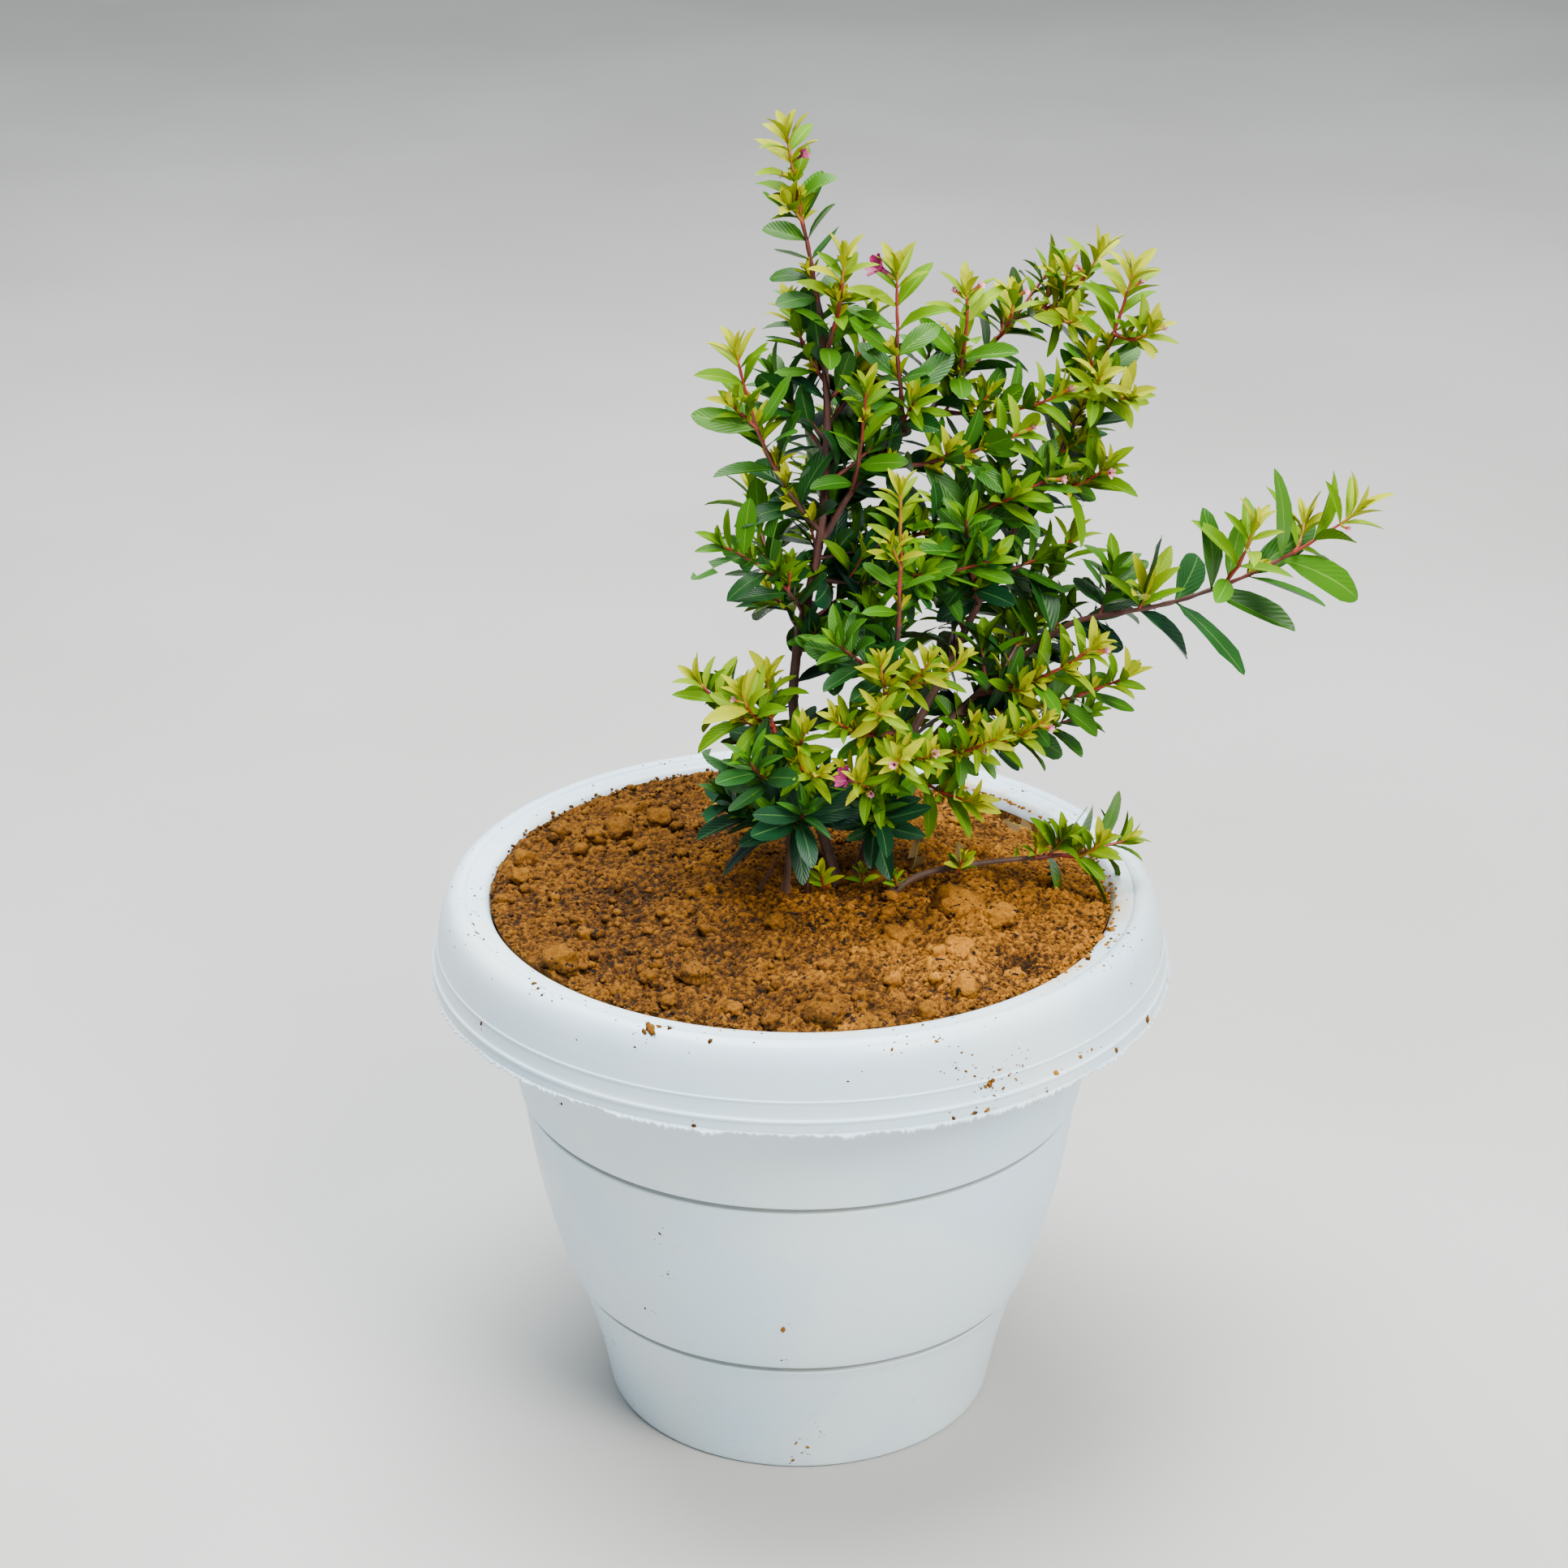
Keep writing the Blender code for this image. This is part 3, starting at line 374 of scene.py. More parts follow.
# Crumbs of soil on the pot and clods on the soil: pixel across, pixel down, millimetres
CRUMBS = (
    (585, 1104, 0.9), (583, 1139, 1.2), (588, 1150, 1.0), (580, 1127, 0.8), (590, 1129, 0.7),
    (577, 1152, 0.7), (596, 1158, 0.8), (581, 1095, 0.6), (658, 1212, 1.6), (663, 1218, 1.2),
    (652, 1206, 1.0), (668, 1226, 0.9), (802, 1268, 3.4), (812, 1265, 1.4), (794, 1271, 1.5),
    (825, 1267, 1.2), (875, 1283, 1.5), (1154, 1283, 1.0), (1137, 1263, 0.9), (1099, 1293, 0.8),
    (1219, 1335, 2.2), (1223, 1331, 1.5), (1214, 1339, 1.2), (1178, 1316, 0.7), (1190, 1320, 0.8),
    (1201, 1326, 0.7), (1231, 1318, 0.9), (1243, 1325, 0.8), (1252, 1330, 0.9), (1209, 1341, 0.8),
    (1236, 1341, 0.9), (1260, 1313, 0.7), (1225, 1350, 0.8), (1185, 1297, 0.6), (1247, 1300, 0.6),
    (1301, 1322, 1.8), (1331, 1302, 1.4), (1375, 1294, 1.9), (1413, 1255, 2.4), (1278, 1353, 1.2),
    (1201, 1371, 1.5), (1216, 1368, 1.3), (1175, 1378, 1.2), (1345, 1293, 1.1), (1290, 1345, 1.0),
    (855, 1387, 1.4), (593, 1261, 1.0), (692, 1360, 0.9), (1366, 1168, 0.9), (1374, 1160, 1.1),
    (1379, 1152, 0.8), (1390, 1150, 0.9), (1371, 1178, 0.7), (1360, 1190, 0.8), (1384, 1166, 0.7),
    (813, 1520, 0.9), (823, 1570, 0.6), (795, 1612, 0.8), (965, 1638, 1.7), (963, 1676, 0.6),
    (981, 1778, 0.9), (995, 1783, 1.1), (977, 1799, 1.0), (1012, 1765, 0.5), (988, 1790, 0.6),
    (731, 968, 0.9), (1312, 1012, 1.6), (1150, 959, 1.2), (1200, 955, 1.0), (1260, 975, 1.1),
)
CLODS = (
    (681, 1187, 9.0), (855, 1206, 8.5), (799, 1204, 5.5), (824, 1229, 5.5), (1016, 1254, 9.5),
    (954, 1153, 6.5), (1103, 1164, 7.0), (1100, 1209, 5.0), (1181, 1175, 8.5), (1190, 1215, 8.0),
    (647, 1057, 8.0), (641, 1080, 5.5), (875, 1111, 5.0), (1094, 1142, 5.0), (852, 1116, 5.0),
    (948, 1254, 5.5), (779, 1004, 13.0), (762, 1030, 8.0), (812, 1018, 8.0), (735, 1035, 6.5),
    (690, 1030, 6.0), (1184, 1128, 15.0), (1230, 1140, 9.0), (1060, 1230, 5.5), (905, 1240, 5.0),
    (760, 1215, 5.0), (720, 1150, 5.0), (1290, 1080, 5.5), (1250, 1190, 5.5), (1140, 1240, 4.5),
)
CLOD_LEVEL = 160.0  # millimetres, the height that the clods' pixels are read at
LUMP_KINDS = (  # detail, seeds and flatness of the crumbs', lumps' and clods' shapes
    (1, (1.0, 5.0, 9.0), 0.80), (2, (3.0, 7.0, 13.0, 19.0), 0.80), (3, (2.0, 6.0, 11.0, 17.0), 0.78),
)


def clip(value: float, low: float = 0.0, high: float = 1.0) -> float:
    """A number held between two limits."""
    return max(low, min(high, value))


def new_piece(name: str, points: Sequence[Sequence[float]], faces: Sequence[Sequence[int]] = (),
              edges: Sequence[Sequence[int]] = ()) -> Piece:
    """Make a mesh object from points in metres, with faces or edges between them.

    Args:
        name: The piece's name.
        points: Its points.
        faces: Its faces, as rows of point numbers.
        edges: Its loose edges, as pairs of point numbers.

    Returns:
        The new object.
    """
    mesh = bpy.data.meshes.new(name)
    mesh.from_pydata(points, edges, faces)
    piece = bpy.data.objects.new(name, mesh)
    bpy.context.scene.collection.objects.link(piece)
    return piece


def settle(piece: Piece, nodes: Sequence[str] = ()) -> None:
    """Ride a finished piece on the plant's body and what it stands for, and report it.

    Args:
        piece: The finished mesh object.
        nodes: The solids that the piece stands for.
    """
    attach(piece, ROOT)
    if nodes:
        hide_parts(*nodes)
    triangles = sum(len(face.vertices) - 2 for face in piece.data.polygons)
    log.info("%s: %d triangles, %d materials", piece.name, triangles, len(piece.data.materials))


class Bench:
    """A mesh on the bench: what is picked by place, and the tools that shape it."""

    def __init__(self, piece: Piece) -> None:
        """Take a mesh object in hand, in edit mode.

        Args:
            piece: The mesh object.
        """
        self.piece = piece
        bpy.ops.object.select_all(action="DESELECT")
        piece.select_set(True)
        bpy.context.view_layer.objects.active = piece
        bpy.ops.object.mode_set(mode="EDIT")

    @staticmethod
    def clear() -> None:
        """Deselect everything, so that a new primitive stands alone."""
        if bpy.context.mode != "OBJECT":
            bpy.ops.object.mode_set(mode="OBJECT")
        bpy.ops.object.select_all(action="DESELECT")

    def pick(self, test: Callable[[Vector], bool]) -> None:
        """Select the vertices whose place passes a test, and what lies between them.

        Args:
            test: Whether a vertex is picked, from its place.
        """
        bpy.ops.mesh.select_mode(type="VERT")
        bpy.ops.mesh.select_all(action="DESELECT")
        shell = bmesh.from_edit_mesh(self.piece.data)
        for vertex in shell.verts:
            if test(vertex.co):
                vertex.select = True
        shell.select_flush(True)
        bmesh.update_edit_mesh(self.piece.data)

    def pick_row(self, axis: int, value: float) -> None:
        """Select the vertices that have a value on an axis."""
        self.pick(lambda place: abs(place[axis] - value) < SAME_ROW)

    def pick_all(self) -> None:
        """Select the whole mesh."""
        bpy.ops.mesh.select_all(action="SELECT")

    def stretch(self, x: float, y: float, z: float, centre: Point = (0.0, 0.0, 0.0)) -> None:
        """Scale what is picked about a point."""
        bpy.ops.transform.resize(value=(x, y, z), center_override=centre)

    def shift(self, x: float, y: float, z: float) -> None:
        """Move what is picked."""
        bpy.ops.transform.translate(value=(x, y, z))

    def mould(self, rule: Callable[[Vector], Vector]) -> None:
        """Move each picked vertex to where a rule puts it.

        Args:
            rule: The new place, from the old.
        """
        shell = bmesh.from_edit_mesh(self.piece.data)
        for vertex in shell.verts:
            if vertex.select:
                vertex.co = rule(vertex.co)
        bmesh.update_edit_mesh(self.piece.data)

    def face_outwards(self) -> None:
        """Turn every face outwards."""
        self.pick_all()
        bpy.ops.mesh.normals_make_consistent(inside=False)

    def close(self) -> Piece:
        """Leave edit mode and hand the piece back."""
        bpy.ops.object.mode_set(mode="OBJECT")
        return self.piece


@dataclass
class Shape:
    """A modelled shape as numbers: points, four-sided or three-sided faces, finishes, place."""

    points: np.ndarray
    faces: np.ndarray
    finishes: np.ndarray
    place: np.ndarray

    @staticmethod
    def taken_from(piece: Piece) -> "Shape":
        """Read a modelled piece and remove it.

        Args:
            piece: The object, whose faces all have the same number of corners.

        Returns:
            The shape.
        """
        mesh = piece.data
        points = np.array([vertex.co[:] for vertex in mesh.vertices], float)
        faces = np.array([face.vertices[:] for face in mesh.polygons], int)
        finishes = np.array([face.material_index for face in mesh.polygons], int)
        low, high = points.min(0), points.max(0)
        place = (points[:, :2] - low[:2]) / np.maximum(high[:2] - low[:2], 1e-9)
        bpy.data.objects.remove(piece)
        bpy.data.meshes.remove(mesh)
        return Shape(points, faces, finishes, place)


class Heap:
    """Many copies of modelled shapes, gathered as arrays and joined into one mesh."""

    def __init__(self) -> None:
        """Start empty."""
        self.points: list[np.ndarray] = []
        self.faces: list[list[int]] = []
        self.finishes: list[np.ndarray] = []
        self.place: list[np.ndarray] = []
        self.shade: list[np.ndarray] = []
        self.count = 0

    def add(self, shape: Shape, copies: np.ndarray, shades: Sequence[float] = (), lit: float = 0.0) -> None:
        """Add copies of one shape.

        Args:
            shape: The shape that is copied.
            copies: The copies' points, one row of points for each.
            shades: A number for each copy, kept on its points, or none for zeros.
            lit: How much that number rises from a copy's middle to its top, as painted light on its top and
                painted shade below.
        """
        number, size = copies.shape[0], copies.shape[1]
        offsets = self.count + np.arange(number)[:, None, None] * size
        self.faces += (shape.faces[None] + offsets).reshape(-1, shape.faces.shape[1]).tolist()
        self.points.append(copies.reshape(-1, 3))
        self.finishes.append(np.tile(shape.finishes, number))
        self.place.append(np.tile(shape.place[shape.faces.ravel()], (number, 1)))
        values = np.array(shades) if len(shades) else np.zeros(number)
        # painted light on each copy's top and painted shade on its underside
        rise = shape.points[:, 2] / np.abs(shape.points[:, 2]).max() * lit
        self.shade.append(np.repeat(values, size) + np.tile(rise, number))
        self.count += number * size

    def join(self, name: str, materials: Sequence[Material]) -> Piece:
        """Make the joined mesh, with smooth faces.

        Args:
            name: The piece's name.
            materials: Its materials, by the shapes' finish numbers.

        Returns:
            The new object.
        """
        piece = new_piece(name, np.concatenate(self.points).tolist(), self.faces)
        mesh = piece.data
        mesh.polygons.foreach_set("material_index", np.concatenate(self.finishes).astype(np.int32))
        mesh.polygons.foreach_set("use_smooth", np.ones(len(mesh.polygons), bool))
        layer = mesh.uv_layers.new(name="UVMap")
        layer.data.foreach_set("uv", np.concatenate(self.place).astype(np.float32).ravel())
        shade = mesh.attributes.new("shade", "FLOAT", "POINT")
        shade.data.foreach_set("value", np.concatenate(self.shade).astype(np.float32))
        for material in materials:
            mesh.materials.append(material)
        mesh.update()
        return piece


class Recipe:
    """One material and short ways to add nodes to it."""

    def __init__(self, name: str, roughness: float, base: Tint | None = None) -> None:
        """Start a Principled material.

        Args:
            name: The material's name.
            roughness: Its plain roughness.
            base: Its plain colour, where it has one.
        """
        self.material = bpy.data.materials.new(name)
        self.material.use_nodes = True
        self.tree = self.material.node_tree
        self.shader = self.tree.nodes["Principled BSDF"]
        self.shader.inputs["Roughness"].default_value = roughness
        if base:
            self.shader.inputs["Base Color"].default_value = base.linear()
            self.material.diffuse_color = base.linear()

    def feed(self, socket: Socket, value: float | tuple | Socket) -> None:
        """Give a node's socket a value or a link.

        Args:
            socket: The socket.
            value: Its value, or what feeds it.
        """
        if isinstance(value, Socket):
            self.tree.links.new(value, socket)
        else:
            socket.default_value = value

    def set(self, socket: str, value: float | Socket) -> None:
        """Give one of the shader's sockets a value or a link."""
        self.feed(self.shader.inputs[socket], value)

    def node(self, kind: str, result: str | int, feeds: Feeds, **choices: str) -> Socket:
        """Add a node.

        Args:
            kind: Its kind, as Blender names it.
            result: Which of its outputs is handed back.
            feeds: What goes into its sockets.
            choices: Its settings.

        Returns:
            The output.
        """
        node = self.tree.nodes.new("ShaderNode" + kind)
        for name, choice in choices.items():
            setattr(node, name, choice)
        for socket, value in feeds.items():
            self.feed(node.inputs[socket], value)
        return node.outputs[result]

    def place(self, stretch: Point = (1.0, 1.0, 1.0)) -> Socket:
        """Object coordinates, stretched."""
        own = self.node("TexCoord", "Object", {})
        return self.node("Mapping", "Vector", {"Vector": own, "Scale": stretch})

    def own_map(self) -> Socket:
        """The piece's own map."""
        return self.node("TexCoord", "UV", {})

    def attribute(self, name: str) -> Socket:
        """A number kept on the piece's points."""
        return self.node("Attribute", "Fac", {}, attribute_name=name)

    def noise(self, place: Socket, scale: float, detail: float = 2.0, rough: float = 0.5) -> Socket:
        """Soft cloudy noise from 0 to 1."""
        feeds = {"Vector": place, "Scale": scale, "Detail": detail, "Roughness": rough}
        return self.node("TexNoise", "Fac", feeds)

    def cells(self, place: Socket, scale: float) -> Socket:
        """The distance to the nearest of scattered points."""
        return self.node("TexVoronoi", "Distance", {"Vector": place, "Scale": scale})

    def between(self, value: Socket, low: float, high: float, start: float = 0.0, end: float = 1.0) -> Socket:
        """A number's range as another range, smooth at its ends."""
        feeds = {"Value": value, "From Min": low, "From Max": high, "To Min": start, "To Max": end}
        return self.node("MapRange", "Result", feeds, interpolation_type="SMOOTHSTEP")

    def sum(self, how: str, first: float | Socket, second: float | Socket = 0.0) -> Socket:
        """Work out one number from two."""
        return self.node("Math", 0, {0: first, 1: second}, operation=how)

    def times(self, first: Socket, *others: float | Socket) -> Socket:
        """The product of two or more numbers."""
        return reduce(lambda product, other: self.sum("MULTIPLY", product, other), others, first)

    def part(self, vector: Socket, axis: str) -> Socket:
        """One part of a vector, X, Y or Z."""
        return self.node("SeparateXYZ", axis, {0: vector})

    def reach(self, vector: Socket) -> Socket:
        """How far a place is from the upright axis."""
        flat = self.node("VectorMath", 0, {0: vector, 1: (1.0, 1.0, 0.0)}, operation="MULTIPLY")
        return self.node("VectorMath", "Value", {0: flat}, operation="LENGTH")

    def mix(self, share: float | Socket, first: Tint | Socket, second: Tint, how: str = "MIX") -> Socket:
        """Mix two colours."""
        one, other = (part.linear() if isinstance(part, Tint) else part for part in (first, second))
        return self.node("Mix", 2, {"Factor": share, 6: one, 7: other}, data_type="RGBA", blend_type=how)

    def ramp(self, value: Socket, stops: Sequence[tuple[float, Tint]]) -> Socket:
        """A run of colours along a number.

        Args:
            value: The number.
            stops: Where each colour stands.

        Returns:
            The colour.
        """
        node = self.tree.nodes.new("ShaderNodeValToRGB")
        self.feed(node.inputs["Fac"], value)
        band = node.color_ramp
        while len(band.elements) < len(stops):
            band.elements.new(0.5)
        for element, (at, tint) in zip(band.elements, stops):
            element.position, element.color = at, tint.linear()
        return node.outputs["Color"]

    def bump(self, height: Socket, strength: float, depth: float, under: Socket | None = None) -> Socket:
        """Small relief as a change of the surface's direction, over another where one is given."""
        feeds = {"Strength": strength, "Distance": depth, "Height": height}
        return self.node("Bump", "Normal", feeds | ({"Normal": under} if under else {}))


@dataclass(frozen=True)
class MouldedPlastic:
    """White semi-gloss plastic: slightly uneven, dusty at the lip and soiled by handling."""

    # cool and warm whites, mixed at random; their bluish cast is a painted reflection of the sky
    cool: Tint = Tint(204, 229, 243)
    warm: Tint = Tint(220, 235, 240)
    dust: Tint = Tint(206, 176, 118)
    grime: Tint = Tint(112, 76, 42)
    # groove: dirt and painted shade in the grooves under the steps
    groove: Tint = Tint(128, 128, 116)
    gloss: float = 0.30
    # places on the pot, in metres: where each finish fades in or out
    lip_reach: Span = (0.0900, 0.0958)
    lip_height: Span = (0.1555, 0.1570)
    dusty_side: Span = (-0.030, 0.075)
    hem_foot: Span = (0.132, 0.1345)
    hem_top: Span = (0.1366, 0.1385)
    foot: Span = (0.0, 0.006)
    handled: Span = (0.130, 0.142)
    grooves: tuple[Point, ...] = ((0.1003, 0.0980, 0.0799), (0.0411, 0.0387, 0.0662))  # top, foot, radius
    fade: float = 0.0003

    def material(self) -> Material:
        """Make the material.

        Returns:
            The white plastic.
        """
        recipe = Recipe("white_plastic", self.gloss)
        place = recipe.place()
        height, reach = recipe.part(place, "Z"), recipe.reach(place)
        side = recipe.between(recipe.part(place, "X"), *self.dusty_side, 0.25, 1.0)
        # the plastic's white, uneven at random, with its painted bluish sky reflection
        cloud = recipe.between(recipe.noise(place, 16.0, 3.0, 0.55), 0.35, 0.65)
        colour = recipe.mix(cloud, self.cool, self.warm)
        # a film of soil dust on the lip's inner side
        film = recipe.times(recipe.between(reach, *self.lip_reach, 1.0, 0.0),
                            recipe.between(height, *self.lip_height), side,
                            recipe.between(recipe.noise(place, 60.0, 4.0, 0.65), 0.42, 0.66))
        colour = recipe.mix(recipe.times(film, 0.8), colour, self.dust)
        # dirt and painted shade in the two grooves
        for top, foot, radius in self.grooves:
            held = recipe.times(recipe.between(height, foot - self.fade, foot + 0.0002),
                                recipe.between(height, top, top + self.fade, 1.0, 0.0),
                                recipe.between(reach, radius - 0.0002, radius + self.fade, 1.0, 0.0))
            colour = recipe.mix(recipe.times(held, 0.8), colour, self.groove)
        # dust along the hanging edge of the rim and at the foot
        hem = recipe.times(recipe.between(height, *self.hem_top, 1.0, 0.0),
                           recipe.between(height, *self.hem_foot), side)
        low = recipe.times(recipe.sum("MAXIMUM", hem, recipe.between(height, *self.foot, 1.0, 0.0)),
                           recipe.between(recipe.noise(place, 110.0, 4.0, 0.7), 0.52, 0.74))
        colour = recipe.mix(recipe.times(low, 0.75), colour, self.dust)
        # fine specks, thicker in some places than others
        specks = recipe.times(recipe.between(recipe.cells(place, 420.0), 0.10, 0.055),
                              recipe.between(recipe.noise(place, 21.0), 0.55, 0.70),
                              recipe.between(height, *self.handled))
        colour = recipe.mix(recipe.times(specks, 0.85), colour, self.grime)
        recipe.set("Base Color", colour)
        uneven = recipe.noise(place, 70.0, 4.0, 0.6)
        rough = recipe.between(uneven, 0.3, 0.7, self.gloss - 0.04, self.gloss + 0.12)
        recipe.set("Roughness", recipe.sum("MAXIMUM", rough, recipe.times(film, 0.8)))
        wave = recipe.bump(recipe.noise(place, 34.0), 0.10, 0.0012)
        recipe.set("Normal", recipe.bump(recipe.noise(place, 1300.0, 3.0), 0.05, 0.0002, wave))
        return recipe.material


@dataclass(frozen=True)
class Earth:
    """Dry crumbly clay soil, orange-brown, with painted shade in its pits and painted light on its crests,
    flecked with humus.
    """

    # pit to pale: the ramp from painted shade in the pits to painted light on the crests
    pit: Tint = Tint(26, 15, 7)
    body: Tint = Tint(95, 58, 15)
    crumb: Tint = Tint(154, 98, 26)
    pale: Tint = Tint(182, 124, 34)
    humus: Tint = Tint(26, 20, 16)
    # a tint multiplied in: darker in broad patches and towards the left
    darker_patches: Tint = Tint(160, 158, 150)
    fade_to_right: float = 3.0  # how fast the darkening falls toward the right, for each metre
    sheen: float = 0.12

    def material(self, name: str) -> Material:
        """Make the material, which reads each point's painted shade and light: 0 in a pit, 1 on a crest.

        Args:
            name: The material's name.

        Returns:
            The soil.
        """
        recipe = Recipe(name, 0.96)
        place = recipe.place()
        fine = recipe.between(recipe.noise(place, 900.0, 5.0, 0.78), 0.28, 0.72)
        # painted shade in the pits and painted light on the crests, from each point's shade
        crest = recipe.times(recipe.attribute("shade"), 0.62)
        blend = recipe.sum("ADD", crest, recipe.times(fine, 0.40))
        stops = ((0.18, self.pit), (0.39, self.body), (0.60, self.crumb), (0.86, self.pale))
        colour = recipe.ramp(blend, stops)
        # darker in broad patches and towards the left
        side = recipe.times(recipe.part(place, "X"), self.fade_to_right)
        broad = recipe.sum("ADD", recipe.noise(place, 30.0, 4.0, 0.65), side)
        colour = recipe.mix(recipe.between(broad, 0.42, 0.70, 0.9, 0.0), colour, self.darker_patches, "MULTIPLY")
        flecks = recipe.times(recipe.between(recipe.noise(place, 560.0), 0.60, 0.66),
                              recipe.between(recipe.noise(place, 60.0), 0.38, 0.55))
        recipe.set("Base Color", recipe.mix(flecks, colour, self.humus))
        coarse = recipe.bump(recipe.noise(place, 420.0, 4.0, 0.75), 0.9, 0.0007)
        recipe.set("Normal", recipe.bump(recipe.noise(place, 1900.0, 3.0, 0.7), 0.7, 0.0003, coarse))
        recipe.set("Specular IOR Level", self.sheen)
        return recipe.material


@dataclass(frozen=True)
class WoodyBark:
    """Thin bark: dark brown at the foot and redder higher up, with pale lengthwise cracks."""

    old: Tint = Tint(76, 50, 34)
    young: Tint = Tint(72, 34, 27)
    crack: Tint = Tint(120, 88, 66)
    reddens: Span = (0.178, 0.262)  # heights, in metres
    lengthwise: Point = (1.0, 1.0, 0.16)

    def material(self) -> Material:
        """Make the material.

        Returns:
            The bark.
        """
        recipe = Recipe("bark", 0.72)
        place = recipe.place()
        streak = recipe.noise(recipe.place(self.lengthwise), 900.0, 4.0, 0.65)
        age = recipe.between(recipe.part(place, "Z"), *self.reddens)
        colour = recipe.mix(age, self.old, self.young)
        colour = recipe.mix(recipe.between(streak, 0.58, 0.80, 0.0, 0.6), colour, self.crack)
        patch = recipe.between(recipe.noise(place, 240.0, 3.0), 0.45, 0.7, 0.0, 0.55)
        recipe.set("Base Color", recipe.mix(patch, colour, self.old.toward(BLACK, 0.45)))
        recipe.set("Normal", recipe.bump(streak, 0.6, 0.0004))
        return recipe.material


@dataclass(frozen=True)
class LeafSkin:
    """A leaf's blade and midrib: plain colours, with veins as small relief."""

    tone: Tone
    gloss: float = 0.40
    young_sheen: float = 0.05
    grown_sheen: float = 0.24
    pale_rib: Tint = Tint(150, 184, 84)
    veins: float = 52.0  # how closely the side veins stand, along the leaf
    slant: float = 46.0  # how far they run toward the tip

    def vein_relief(self, recipe: Recipe) -> Socket:
        """Side veins that slant from the midrib to the tip, from the leaf's own map.

        Args:
            recipe: The blade's material.

        Returns:
            The relief's height.
        """
        place = recipe.own_map()
        off = recipe.sum("ABSOLUTE", recipe.sum("SUBTRACT", recipe.part(place, "X"), 0.5))
        along = recipe.times(recipe.part(place, "Y"), self.veins)
        run = recipe.sum("SUBTRACT", along, recipe.times(off, self.slant))
        return recipe.times(recipe.sum("SINE", run), 0.5)

    def materials(self) -> list[Material]:
        """Make the two materials.

        Returns:
            The blade's and the midrib's.
        """
        blade = BLADES[self.tone]
        rib = blade.toward(self.pale_rib, 0.34)
        made = []
        for part, tint, gloss in (("blade", blade, self.gloss), ("rib", rib, self.gloss + 0.1)):
            recipe = Recipe(f"leaf_{self.tone.name.lower()}_{part}", gloss, tint)
            sheen = self.young_sheen if self.tone.value >= Tone.LIME.value else self.grown_sheen
            recipe.set("Specular IOR Level", sheen)
            if part == "blade":
                recipe.set("Normal", recipe.bump(self.vein_relief(recipe), 0.22, 0.0004))
            made.append(recipe.material)
        return made


class Seat(NamedTuple):
    """A place on an axis: the point, the way that the axis runs there and its radius."""

    point: Vector
    along: Vector
    thick: float

    def lifted(self, share: float) -> "Seat":
        """The same place, on an axis that turns up to the light there."""
        return self._replace(along=(self.along + UP * share).normalized())


@dataclass
class Axis:
    """A centre line with its radii, in metres."""

    points: list[Vector]
    radii: list[float]

    def length(self) -> float:
        """Length along the centre line."""
        return sum((b - a).length for a, b in zip(self.points, self.points[1:]))

    def at(self, share: float) -> Seat:
        """The place at a share of the length, from 0 to 1.

        Args:
            share: The share.

        Returns:
            The point, the way and the radius there.
        """
        left = clip(share) * self.length()
        for index, (a, b) in enumerate(zip(self.points, self.points[1:])):
            step = (b - a).length
            if left <= step or index == len(self.points) - 2:
                part = min(1.0, left / step)
                radius = self.radii[index] + part * (self.radii[index + 1] - self.radii[index])
                return Seat(a.lerp(b, part), (b - a).normalized(), radius)
            left -= step
        raise ValueError("an axis needs two points")


def smooth_way(points: Sequence[Vector], parts: int) -> list[Vector]:
    """A smooth line through way points.

    Args:
        points: The way points.
        parts: How many pieces each stretch is cut into.

    Returns:
        The line's points.
    """
    ends = [points[0] * 2.0 - points[1], *points, points[-1] * 2.0 - points[-2]]
    line = []
    for a, b, c, d in zip(ends, ends[1:], ends[2:], ends[3:]):
        for index in range(parts):
            t = index / parts
            line.append(0.5 * (2.0 * b + (c - a) * t + (2.0 * a - 5.0 * b + 4.0 * c - d) * t * t
                               + (3.0 * b - a - 3.0 * c + d) * t * t * t))
    return [*line, points[-1].copy()]


def drawn_curve(start: Vector, control: Vector, end: Vector, t: float) -> Vector:
    """A place on the curve from a start to an end that is drawn toward a control point."""
    return start * (1 - t) ** 2 + control * 2 * t * (1 - t) + end * t * t


def turned_off(way: Vector, parent_way: Vector, least: float) -> Vector:
    """A direction turned away from its parent's until it leaves at the least angle.

    Args:
        way: The direction.
        parent_way: Its parent's.
        least: The angle.

    Returns:
        The direction, one unit long.
    """
    if way.angle(parent_way) >= least:
        return way.normalized()
    hinge = parent_way.cross(way)
    if hinge.length < 1e-6:
        hinge = parent_way.orthogonal()
    return Quaternion(hinge.normalized(), least) @ parent_way.normalized()


def squared(way: Vector, along: Vector) -> Vector:
    """A direction made square to another."""
    return (way - along * way.dot(along)).normalized()


def around(along: Vector, turn: float) -> Vector:
    """A direction square to a stem, turned about it from the stem's level side.

    Args:
        along: The stem's direction.
        turn: The turn.

    Returns:
        The direction, one unit long.
    """
    side = along.cross(UP)
    side = side.normalized() if side.length > 0.05 else Vector((1.0, 0.0, 0.0))
    return Quaternion(along, turn) @ squared(side, along)


